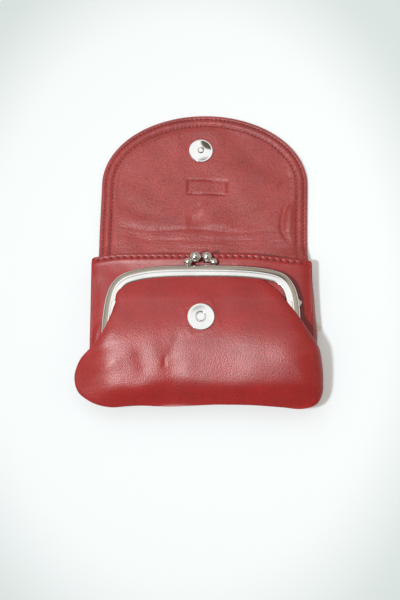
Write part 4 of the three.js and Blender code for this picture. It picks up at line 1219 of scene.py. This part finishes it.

# Reach before and after the frame's hinge given to bend for the pouch's front and its lining.
POUCH_BEND = (14.0, 3.0)


def swelling(x, y, height, x_middle, x_spread, y_middle, y_spread):
    """A height times a bell along X and a bell along Y."""
    return height * bell(x, x_middle, x_spread) * bell(y, y_middle, y_spread)


def pouch_swell(x, y):
    """Level of the pouch's front: highest round the snap, with lobes and folds.

    It falls by a slope below the snap, a steeper one past its turn and one out past the left lobe, and
    is tucked in at the frame. The folds fade out round the snap.
    """
    size = bpy.context.scene.purse_pouch
    base = CAP_LOW[2] - 0.15
    full = size.belly / MM * bell(y, 16, 14)
    turn = np.interp(x, POUCH_TURN[:, 0], POUCH_TURN[:, 1])
    fall = -SNAP_FALL * soft_ramp(17 - y, 4) - TURN_FALL * soft_ramp(turn - y, 1.3)
    tuck = -1.6 * ease(y, 34, 48)
    lobes = swelling(x, y, *RIGHT_LOBE) + swelling(x, y, *LEFT_LOBE)
    hinge = swelling(x, y, *LEFT_HINGE)
    left = -LEFT_FALL * soft_ramp(-46 - 4 * ease(y, -6, 5) - x, 3) * ease(y, -21, -9)
    calm = ease(np.hypot(x, y - SNAP_Y), 8, 17)
    folds = 0.35 * cloud(x, 0.7 * y, 21, 31) + 0.12 * cloud(x, 0.5 * y, 9, 32)
    folds = folds * (1 - 0.8 * ease(np.abs(x), 32, 44) * ease(y, -4, 6))
    folds = folds + fold_lines(x, y, POUCH_FOLDS)
    return base + full + fall + tuck + lobes + hinge + left + calm * folds * size.pucker / MM


def plate_print(x, y):
    """The square backing plate's print through the leather round the snap, turned a little: a low rim."""
    u, v = turned(x, y, SNAP_MIDDLE, PRINT_TURN)
    return PRINT_RIM * bell(np.maximum(np.abs(u), np.abs(v)), PRINT_HALF, 0.8)


def rings_to_snap(loop, rings, crowd):
    """X and Y of rings from a loop in to the snap's middle, crowded towards the loop by a power."""
    v = np.linspace(0, 1, rings)[:, None, None] ** crowd
    xy = loop[None, :, :2] * (1 - v) + SNAP_MIDDLE * v
    return xy[..., 0], xy[..., 1]


def pouch_front(inset, rings):
    """The front leather's surface at an inset: rays from its edge to the snap, rounded up."""
    size = bpy.context.scene.purse_pouch
    loop = inward_edge(inset)
    x, y = rings_to_snap(loop, rings, 1.5)
    in_from_edge = np.stack([from_loop(x[k], y[k], loop) for k in range(rings)])
    radius = loop[None, :, 3] * size.lobe_radius / MM
    rise = quarter_round(in_from_edge / radius, 1.25, 2.7)
    top = pouch_swell(x, y) + plate_print(x, y) - inset
    edge = loop[None, :, 2] - inset
    z = edge + (np.maximum(top, edge + 0.2) - edge) * rise
    return np.stack([x, y, z], -1)


def pouch_rear(inset, lift, rings):
    """The rear leather's surface: flat on the front panel, up to the rear leaf, its edge up to the seam."""
    size = bpy.context.scene.purse_pouch
    loop = inward_edge(inset + 0.25)
    neck = ease(loop[:, 1], 4, 18)
    reach = 44.0 + 22 * (1 - neck)
    loop[:, 0] = np.where(neck > 0, np.clip(loop[:, 0], -reach, reach), loop[:, 0])
    seam = loop[:, 2] - 2.1
    seam = seam * (1 - neck) + (REAR_LEAF_LOW[2] + 1.4) * neck + lift
    x, y = rings_to_snap(loop, rings, 1.4)
    in_from_edge = np.hypot(x - loop[None, :, 0], y - loop[None, :, 1])
    radius = 0.7 * loop[None, :, 3] * size.lobe_radius / MM
    turn = quarter_round(in_from_edge, radius)
    floor = PANEL_HIGH[2] + 0.3 + (REAR_LEAF_LOW[2] - PANEL_HIGH[2]) * ease(y, 6, 13) + lift
    floor = floor - 2.2 * ease(-y, 12.5, 20.5)
    return np.stack([x, y, seam[None, :] + (floor - seam[None, :]) * turn], -1)


def corner_skin(thick):
    """The leather's return in the frame's right corner: a round sheet, lower at its middle."""
    r = np.linspace(1, 0, 16)[:, None] * CORNER_RADIUS
    t = np.linspace(0, 2 * np.pi, 72, endpoint=False)[None, :]
    x, y = LEAF_HIGH[0] - CORNER_INSET + r * np.cos(t), CORNER_Y + r * np.sin(t)
    z = CORNER_LEVEL - 0.5 * (1 - (r / CORNER_RADIUS) ** 2) + 0.12 * cloud(x, y, 4, 33)
    return closed_sheet(np.dstack([x, y, z]), np.dstack([x, y, z - thick * 0.9]), wrap=True)


class PURSE_OT_pouch(bpy.types.Operator):
    """Coin pouch: front and rear leather, their linings and the leather in the frame's right corner"""

    bl_idname = "purse.pouch"
    bl_label = "Coin pouch"

    def execute(self, context):
        rings = context.scene.purse_pouch.rings
        thick = context.scene.purse_leather.thickness / MM
        near, far, inset = thick + LINING_NEAR, thick + LINING_FAR, REAR_LINING_INSET
        front = add_piece(
            "pouch_front_leather",
            closed_sheet(pouch_front(0, rings), pouch_front(thick, rings), wrap=True),
            hide_leather(),
        )
        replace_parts(front, "pouch_front", "pouch_mouth")
        lining = add_piece(
            "pouch_front_lining",
            closed_sheet(pouch_front(near, 40), pouch_front(far, 40), wrap=True),
            pocket_cloth(),
        )
        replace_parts(lining, "pouch_lining_front", "pouch_lining_mouth")
        rear = add_piece(
            "pouch_rear_leather",
            closed_sheet(pouch_rear(0, thick, 40), pouch_rear(0, 0, 40), wrap=True),
            hide_leather(),
        )
        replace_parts(rear, "pouch_rear")
        rear_lining = add_piece(
            "pouch_rear_lining",
            closed_sheet(pouch_rear(inset, far, 30), pouch_rear(inset, near, 30), wrap=True),
            pocket_cloth(),
        )
        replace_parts(rear_lining, "pouch_lining_rear")
        corner = add_piece("pouch_corner_leather", corner_skin(thick), hide_leather())
        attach(corner, "front_leaf")
        for piece in (front, lining):
            bend(piece, "purse", "front_leaf", HINGE, *POUCH_BEND)
        for piece in (rear, rear_lining):
            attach(piece, "purse")
        return {"FINISHED"}


# Kiss-lock frame

# The frame's outer line, from each leg's end to the middle of the top: distance out and Y. Its bow
# stands a little fuller at the right.
ARCH_LEFT = np.array([
    (51.3, 4.2), (51.25, 12.0), (51.0, 20.0), (50.5, 27.0), (49.7, 33.0), (48.5, 38.8), (46.2, 43.8),
    (42.6, 47.4), (38.0, 49.7), (29.0, 51.8), (17.5, 52.8), (0.0, 53.0),
])
ARCH_RIGHT = np.array([
    (51.3, 4.2), (51.3, 12.0), (51.3, 20.0), (51.2, 27.0), (50.8, 33.0), (49.8, 38.6), (47.6, 44.0),
    (44.4, 47.6), (39.8, 50.0), (30.5, 51.9), (18.0, 52.8), (0.0, 53.0),
])
ARCH_TOP = ARCH_LEFT[-1, 1]

# Thickness of the rear and the front leaf, and the gap between them.
REAR_THICK, FRONT_THICK, LEAF_GAP = 3.6, 4.2, 0.4

# The ears: the rear ones' distance in from the frame's side, the front ones' step in from those, their
# thickness, the radius of their round ends, and the Y where their webs begin and end.
EAR_INSET, EAR_STEP, EAR_THICK, EAR_RADIUS = 3.7, 1.3, 1.0, 3.0
WEB_NEAR, WEB_FAR = 3.6, 7.2

# Radii of a clasp half's bead, ball and arm.
BEAD_RADIUS, BALL_RADIUS, ARM_RADIUS = 2.15, 3.0, 0.95


def arch_path(spacing):
    """The frame's outer line: up the left leg, over the bowed top and down the right leg."""
    return even(rounded(np.concatenate([ARCH_LEFT * [-1, 1], ARCH_RIGHT[-2::-1]]), 5), spacing)


def leg_x(side, y):
    """X of a leg's outer side at a Y; side is -1 for the left leg and +1 for the right."""
    arch = ARCH_LEFT if side < 0 else ARCH_RIGHT
    return side * np.interp(y, arch[:7, 1], arch[:7, 0])


def leaf_profile(level, thick, side):
    """Section of a leaf as (inset, level): a rounded bead, a flat inner band and the leather's slot.

    side is +1 where the bead's crown faces up and -1 where it faces down.
    """
    middle = thick / 2
    crown = [
        (0.0, middle), (0.05, thick * 0.56), (0.4, thick * 0.7), (1.1, thick * 0.83), (2.0, thick * 0.92),
        (2.7, thick * 0.978), (3.1, thick), (3.5, thick - 0.01), (3.9, thick - 0.07), (4.3, thick - 0.1),
        (5.2, thick - 0.14), (6.2, thick - 0.2), (6.6, thick - 0.6), (6.6, middle + 0.75),
    ]
    slot = [(6.0, middle + 0.7), (1.7, middle + 0.7), (1.7, middle - 0.7), (6.0, middle - 0.7)]
    flat = [(6.6, middle - 0.75), (6.5, 0.35), (6.1, 0.0), (1.2, 0.0), (0.4, 0.3), (0.0, 0.9)]
    section = np.array(crown + slot + flat)
    if side < 0:
        section = np.stack([section[:, 0], thick - section[:, 1]], -1)[::-1]
    section = rounded(section, 2, closed=True)
    return np.stack([section[:, 0], section[:, 1] + level], -1)


def ear_outline(side, leaf_level):
    """A hinge ear in the YZ plane: a round end on the hinge with a web up or down to its leaf."""
    t = np.linspace(0, np.pi, 24)
    end = np.stack([HINGE[1] - EAR_RADIUS * np.sin(t), HINGE[2] - side * EAR_RADIUS * np.cos(t)], -1)
    inside, face = leaf_level + side * 2.6, leaf_level - side * 0.1
    return np.concatenate([end, [(WEB_FAR, inside), (WEB_FAR, face), (WEB_NEAR, face)]])


def clasp_skin(side, level, lean):
    """One clasp half: a bead on the frame, an arm that arches in from it, a collar and a ball."""
    bead = np.array([side * 6.75, ARCH_TOP + 2.2 + 0.5 * side, level + 0.4])
    knob = np.array([side * BALL_RADIUS, ARCH_TOP + 5.0 + 0.25 * side, level + lean])
    elbow = np.array([knob[0] + side * 2.8, bead[1] + 0.9, level])
    s = np.linspace(0, 1, 16)[:, None]
    arm = bead * (1 - s) ** 2 + 2 * elbow * s * (1 - s) + knob * s**2
    foot = [np.array([bead[0], ARCH_TOP - 0.3 + k, level]) for k in (0.0, 0.5, 1.0, 1.8)]
    collar = [knob + [0, -2.9 + k, 0] for k in (0.0, 0.15, 0.9, 1.1)]
    return joined(
        ball(bead, BEAD_RADIUS),
        ball(knob, BALL_RADIUS),
        rod(arm, ARM_RADIUS),
        rod(foot, np.array([1.9, 1.8, 1.2, 1.0])),
        rod(collar, np.array([1.6, 1.9, 1.9, 1.6])),
    )


def strap_skin(side, level):
    """A flat hinge strap along a leg: a thin plate with a round upper end and softened edges."""
    half, low, high = 1.4, 5.0, 33.5
    turn = np.linspace(0, np.pi / 2, 14)
    y = np.concatenate([np.linspace(low, high - half, 16, endpoint=False), high - half * (1 - np.sin(turn))])
    width = half * np.sqrt(np.clip(1 - (np.maximum(y - high + half, 0) / half) ** 2, 0, 1))
    u = np.sin(np.linspace(-np.pi / 2, np.pi / 2, 13))
    px = (leg_x(side, y) - side * 5.0)[:, None] + width[:, None] * u
    py = np.broadcast_to(y[:, None], px.shape)
    soft = 0.18 * (1 - np.sqrt(np.clip(1 - np.abs(u) ** 8, 0, 1)))
    top = np.dstack([px, py, level + 0.6 - soft + 0 * px])
    return closed_sheet(top, np.dstack([px, py, level - 0.3 + 0 * px]))


class PURSE_OT_frame(bpy.types.Operator):
    """Kiss-lock frame: two channel leaves with hinge ears and straps, and the clasp's two halves"""

    bl_idname = "purse.frame"
    bl_label = "Kiss-lock frame"

    def leaf(self, name, node, level, thick, side, ear_x):
        """A leaf: its section carried round the arch, wider low on the legs, with an ear on each leg.

        The front leaf, side +1, also has straps and gets lower towards the hinge.
        """
        path = arch_path(0.6)
        inward = -left_normals(path)
        profile = leaf_profile(level, thick, side)
        widen = 0.15 * (1 - ease(path[:, 1], 28.0, 31.5))[:, None] * ease(profile[None, :, 0], 4.4, 5.6)
        arch = sweep(profile, path, inward, widen)
        straps = [strap_skin(k, level + thick - 0.45) for k in (-1, 1)] if side > 0 else []
        points, quads = joined(arch, *straps)
        if side > 0:
            points[:, 2] -= 0.3 * (points[:, 2] - level) * (1 - ease(points[:, 1], 6, 30))
        outline = ear_outline(side, level if side > 0 else level + thick)
        ears = [side_plate(outline, x, x + EAR_THICK, 0.2) for x in (ear_x, -ear_x - EAR_THICK)]
        leaf = add_piece(name, joined((points, quads), *ears), nickel())
        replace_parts(leaf, node)
        return leaf

    def execute(self, context):
        low = REAR_LEAF_LOW[2]
        high = low + REAR_THICK + LEAF_GAP
        rear_ear = LEAF_HIGH[0] - EAR_INSET
        rear = self.leaf("frame_rear", "frame_rear_leaf", low, REAR_THICK, -1, rear_ear)
        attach(rear, "purse")
        front = self.leaf("frame_front", "frame_front_leaf", high, FRONT_THICK, 1, rear_ear - EAR_STEP)
        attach(front, "front_leaf")
        front = add_piece("clasp_front", clasp_skin(-1, high + FRONT_THICK / 2, -0.9), nickel())
        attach(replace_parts(front, "front_clasp"), "front_leaf")
        rear = add_piece("clasp_rear", clasp_skin(1, low + REAR_THICK / 2, 0.9), nickel())
        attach(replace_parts(rear, "rear_clasp"), "purse")
        return {"FINISHED"}


# Snaps

# Profiles as radius and level: the ring's stud, groove and rim, and the disc's rim and post.
SNAP_RING = (
    (0.0, 1.42), (1.9, 1.42), (2.02, 1.4), (2.07, 1.32), (2.11, 1.1), (2.15, 1.03), (2.22, 1.0),
    (2.48, 1.0), (2.55, 1.03), (2.6, 1.1), (2.66, 1.37), (2.71, 1.44), (2.8, 1.48), (3.3, 1.52),
    (4.2, 1.57), (5.2, 1.65), (6.1, 1.73), (6.72, 1.74), (6.88, 1.69), (6.98, 1.56), (7.06, 1.3),
    (7.1, 0.8), (7.1, -0.3), (0.0, -0.3),
)
DISC_RIM = (
    (0.0, -0.3), (6.4, -0.3), (6.6, -0.1), (6.6, 0.25), (6.45, 0.42), (6.25, 0.4), (6.1, 0.37),
)
DISC_POST = (
    (1.65, 0.92), (1.5, 1.03), (1.4, 1.34), (1.2, 1.45), (0.0, 1.48),
)

# The disc's dome: its outer and inner radius, its level at the middle and its fall to the outer radius.
DOME_OUTER, DOME_INNER, DOME_TOP, DOME_FALL = 6.1, 1.75, 0.95, 0.58


class PURSE_OT_snaps(bpy.types.Operator):
    """Magnetic snap: the pouch's ringed cap and the flap's polished disc"""

    bl_idname = "purse.snaps"
    bl_label = "Magnetic snap"

    def execute(self, context):
        skin = lathe(rounded(SNAP_RING, 2), (0, SNAP_Y, CAP_LOW[2]))
        piece = add_piece("pouch_snap_ring", skin, snap_plate())
        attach(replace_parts(piece, "pouch_snap_cap"), "front_leaf")
        r = np.linspace(DOME_OUTER, DOME_INNER, 12)
        dome = np.stack([r, DOME_TOP - DOME_FALL * (r / DOME_OUTER) ** 2], -1)
        disc = np.concatenate([rounded(DISC_RIM, 2), dome, rounded(DISC_POST, 2)])
        skin = lathe(disc, (0, DISC_MIDDLE[1], DISC_LOW[2]))
        piece = add_piece("flap_snap_button", skin, snap_plate())
        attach(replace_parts(piece, "flap_snap_disc"), "flap")
        return {"FINISHED"}


# Zips


class PURSE_OT_zips(bpy.types.Operator):
    """Zips: woven tapes, and finishes for the teeth, stops, sliders and pulls"""

    bl_idname = "purse.zips"
    bl_label = "Zips"

    def tape(self, node):
        """A zip tape: a thin, slightly rippled strip."""
        low, high = span(node)
        x, v = np.meshgrid(np.linspace(low[0], high[0], 120), np.linspace(0, 1, 12))
        y = low[1] + v * (high[1] - low[1])
        ripple = 0.05 * cloud(x, y, 6, 41)
        skin = closed_sheet(np.dstack([x, y, high[2] + ripple]), np.dstack([x, y, low[2] + ripple]))
        tape = add_piece(f"{node}_cloth", skin, zip_tape())
        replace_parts(tape, node)
        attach(tape, "purse")

    def execute(self, context):
        metals = ("upper_teeth", "lower_teeth", "bottom_stop", "top_stop", "slider", "pull")
        for prefix in ("front_zip", "rear_zip"):
            for part in ("upper_tape", "lower_tape"):
                self.tape(f"{prefix}_{part}")
            for part in metals:
                finish_node(f"{prefix}_{part}", zip_metal())
        return {"FINISHED"}


def finish_node(name, material):
    """Gives a shown CAD node its finish."""
    mesh = frame["nodes"][name].data
    mesh.materials.clear()
    mesh.materials.append(material)


class PURSE_OT_inner_parts(bpy.types.Operator):
    """Inner parts: finishes for the hinge pins, paper cords, magnet and backing plates"""

    bl_idname = "purse.inner_parts"
    bl_label = "Inner parts"

    def execute(self, context):
        metal = context.scene.purse_metal
        for name in ("hinge_pin_left", "hinge_pin_right"):
            finish_node(name, nickel())
        for name in ("front_channel_cord", "rear_channel_cord"):
            finish_node(name, matt("Paper cord", tuple(metal.paper), rough=0.9))
        finish_node("pouch_snap_magnet", matt("Ferrite", tuple(metal.ferrite), rough=0.7))
        for name in ("pouch_snap_plate", "flap_snap_plate"):
            finish_node(name, snap_plate())
        return {"FINISHED"}


# Stage, in metres

# The floor: half its side and its drop below the purse.
FLOOR_HALF, FLOOR_DROP = 2.0, 0.0003

# The floor's painted pool of light: its middle, its stretch along Y, the distances where the painted shade
# starts and ends to dim the floor, and the share of the floor's colour left beyond it.
POOL_MIDDLE = (-0.008, 0.046)
POOL_STRETCH = 1.42
POOL_INNER, POOL_OUTER = 0.104, 0.160
PAINTED_POOL_DIM = (0.66, 0.73, 0.72)

# The floor's colour is multiplied by this slope along the table plus this base, against the light's fall.
FLOOR_SLOPE = (0.75, 0.6, 0.0)
FLOOR_BASE = 0.9

# The room's walls: colours low and high, and how high up the second is reached.
WALL_LOW, WALL_HIGH, WALL_TOP = (0.27, 0.24, 0.205, 1), (0.60, 0.53, 0.43, 1), 0.7

# Patches of the room: direction, angles in degrees where each begins and is full, and colour. They are
# a white panel overhead, a dark one round the camera, a small dark one and a dim wall towards -Y.
ROOM_PATCHES = (
    ((-0.05, 0.33, 0.94), 31, 23, (1.3, 1.32, 1.34)),
    ((0.2, -0.38, 0.9), 33, 20, (0.12, 0.11, 0.1)),
    ((0.27, 0.62, 0.74), 18, 13, (0.16, 0.13, 0.1)),
    ((0.1, -1.0, 0.4), 54, 34, (0.2, 0.18, 0.155)),
)

# The flash: its place, the point it is aimed at, the side of its soft box, and its power in watts.
FLASH_PLACE, FLASH_AIM = (-0.17, -0.11, 0.585), (0.0, 0.05, 0.0)
FLASH_SIDE, FLASH_POWER = 0.05, 3.0


class PURSE_OT_stage(bpy.types.Operator):
    """Stage: pale floor, room, small soft light at the left of the camera, and the camera"""

    bl_idname = "purse.stage"
    bl_label = "Stage"

    def floor(self, stage):
        """A wide pale floor: diffuse to keep the shadow, evened out, a painted pool of light, a faint glow.
        """
        made = bpy.data.materials.new("Pale floor")
        made.use_nodes = True
        tree = made.node_tree
        tree.nodes.clear()
        out = tree.nodes.new("ShaderNodeOutputMaterial")
        place = tree.nodes.new("ShaderNodeTexCoord")
        away = tree.nodes.new("ShaderNodeVectorMath")
        away.operation = "LENGTH"
        shift = tree.nodes.new("ShaderNodeMapping")
        shift.inputs["Location"].default_value = (-POOL_MIDDLE[0], -POOL_MIDDLE[1] / POOL_STRETCH, 0.0)
        shift.inputs["Scale"].default_value = (1.0, 1 / POOL_STRETCH, 1.0)
        tree.links.new(place.outputs["Object"], shift.inputs["Vector"])
        tree.links.new(shift.outputs[0], away.inputs[0])
        # Painted pool of light: beyond it the floor's colour is darkened as painted shade towards its
        # corners.
        edge = smooth_range(tree, away.outputs["Value"], POOL_INNER, POOL_OUTER)
        dim = tuple(c * s for c, s in zip(stage.floor, PAINTED_POOL_DIM))
        tone = mix_colour(tree, edge, tuple(stage.floor), dim)
        slope = dot(tree, place.outputs["Object"], FLOOR_SLOPE)
        tone = mix_colour(tree, 1.0, tone, math_node(tree, "ADD", slope, FLOOR_BASE), "MULTIPLY")
        diffuse = tree.nodes.new("ShaderNodeBsdfDiffuse")
        tree.links.new(tone, diffuse.inputs["Color"])
        glow = tree.nodes.new("ShaderNodeEmission")
        glow.inputs["Color"].default_value = (*stage.glow, 1.0)
        path = tree.nodes.new("ShaderNodeLightPath")
        seen = math_node(tree, "MAXIMUM", path.outputs["Is Camera Ray"], path.outputs["Is Glossy Ray"])
        seen = math_node(tree, "MAXIMUM", seen, path.outputs["Is Transmission Ray"])
        tree.links.new(seen, glow.inputs["Strength"])
        both = tree.nodes.new("ShaderNodeAddShader")
        tree.links.new(diffuse.outputs[0], both.inputs[0])
        tree.links.new(glow.outputs[0], both.inputs[1])
        tree.links.new(both.outputs[0], out.inputs["Surface"])
        mesh = bpy.data.meshes.new("floor")
        corners = ((-1, -1), (1, -1), (1, 1), (-1, 1))
        points = [(x * FLOOR_HALF, y * FLOOR_HALF, -FLOOR_DROP) for x, y in corners]
        mesh.from_pydata(points, [], [(0, 1, 2, 3)])
        mesh.materials.append(made)
        floor = bpy.data.objects.new("floor", mesh)
        bpy.context.scene.collection.objects.link(floor)

    def world(self):
        """A studio room: warm walls that brighten upwards, with brighter and darker patches."""
        world = bpy.data.worlds.new("Studio")
        bpy.context.scene.world = world
        world.use_nodes = True
        tree = world.node_tree
        place = tree.nodes.new("ShaderNodeTexCoord")
        split = tree.nodes.new("ShaderNodeSeparateXYZ")
        tree.links.new(place.outputs["Generated"], split.inputs[0])
        walls = tree.nodes.new("ShaderNodeValToRGB")
        low, high = walls.color_ramp.elements
        low.position, high.position = 0.0, WALL_TOP
        low.color, high.color = WALL_LOW, WALL_HIGH
        tree.links.new(split.outputs["Z"], walls.inputs["Fac"])
        room = walls.outputs[0]
        for direction, outer, inner, tone in ROOM_PATCHES:
            toward = dot(tree, place.outputs["Generated"], Vector(direction).normalized())
            begins, full = math.cos(math.radians(outer)), math.cos(math.radians(inner))
            room = mix_colour(tree, smooth_range(tree, toward, begins, full), room, tone)
        tree.links.new(room, tree.nodes["Background"].inputs["Color"])

    def flash(self):
        """A small square soft box aimed at the purse's middle."""
        lamp = bpy.data.lights.new("flash", "AREA")
        lamp.size = FLASH_SIDE
        lamp.energy = FLASH_POWER
        holder = bpy.data.objects.new("flash", lamp)
        bpy.context.scene.collection.objects.link(holder)
        holder.location = FLASH_PLACE
        toward = Vector(FLASH_AIM) - Vector(FLASH_PLACE)
        holder.rotation_euler = toward.to_track_quat("-Z", "Y").to_euler()

    def camera(self, stage):
        """A camera at the picture's angle, aimed at its middle."""
        data = bpy.data.cameras.new("camera")
        data.lens = stage.lens
        data.clip_start, data.clip_end = 0.01, 20.0
        camera = bpy.data.objects.new("camera", data)
        bpy.context.scene.collection.objects.link(camera)
        lean = stage.elevation
        camera.location = (
            stage.aim_x,
            stage.aim_y - stage.distance * math.cos(lean),
            stage.distance * math.sin(lean),
        )
        camera.rotation_euler = (math.pi / 2 - lean, 0.0, 0.0)
        bpy.context.scene.camera = camera

    def execute(self, context):
        stage = context.scene.purse_stage
        context.scene.view_settings.view_transform = "Standard"
        self.floor(stage)
        self.world()
        self.flash()
        self.camera(stage)
        return {"FINISHED"}


class PURSE_PT_pieces(bpy.types.Panel):
    """Lists the purse's pieces and its settings"""

    bl_label = "Kiss-lock coin purse"
    bl_idname = "PURSE_PT_pieces"
    bl_space_type = "VIEW_3D"
    bl_region_type = "UI"
    bl_category = "Purse"

    def draw(self, context):
        for operator in OPERATORS:
            self.layout.operator(operator.bl_idname)
        for name, group in GROUPS.items():
            box = self.layout.box()
            box.label(text=group.__doc__)
            for key in group.__annotations__:
                box.prop(getattr(context.scene, name), key)


GROUPS = {
    "purse_leather": PurseLeather,
    "purse_flap": PurseFlap,
    "purse_pouch": PursePouch,
    "purse_metal": PurseMetal,
    "purse_stage": PurseStage,
}
OPERATORS = (
    PURSE_OT_stage,
    PURSE_OT_flap,
    PURSE_OT_body,
    PURSE_OT_pouch,
    PURSE_OT_frame,
    PURSE_OT_snaps,
    PURSE_OT_zips,
    PURSE_OT_inner_parts,
)


def register():
    """Registers the settings, operators and panel."""
    for group in GROUPS.values():
        bpy.utils.register_class(group)
    for name, group in GROUPS.items():
        setattr(bpy.types.Scene, name, PointerProperty(type=group))
    for made in (*OPERATORS, PURSE_PT_pieces):
        bpy.utils.register_class(made)


def unregister():
    """Removes what register added."""
    for made in (PURSE_PT_pieces, *reversed(OPERATORS)):
        bpy.utils.unregister_class(made)
    for name, group in GROUPS.items():
        delattr(bpy.types.Scene, name)
        bpy.utils.unregister_class(group)


def main():
    """Builds every piece in order."""
    register()
    bpy.ops.purse.stage()
    bpy.ops.purse.flap()
    bpy.ops.purse.body()
    bpy.ops.purse.pouch()
    bpy.ops.purse.frame()
    bpy.ops.purse.snaps()
    bpy.ops.purse.zips()
    bpy.ops.purse.inner_parts()


if __name__ == "__main__":
    main()
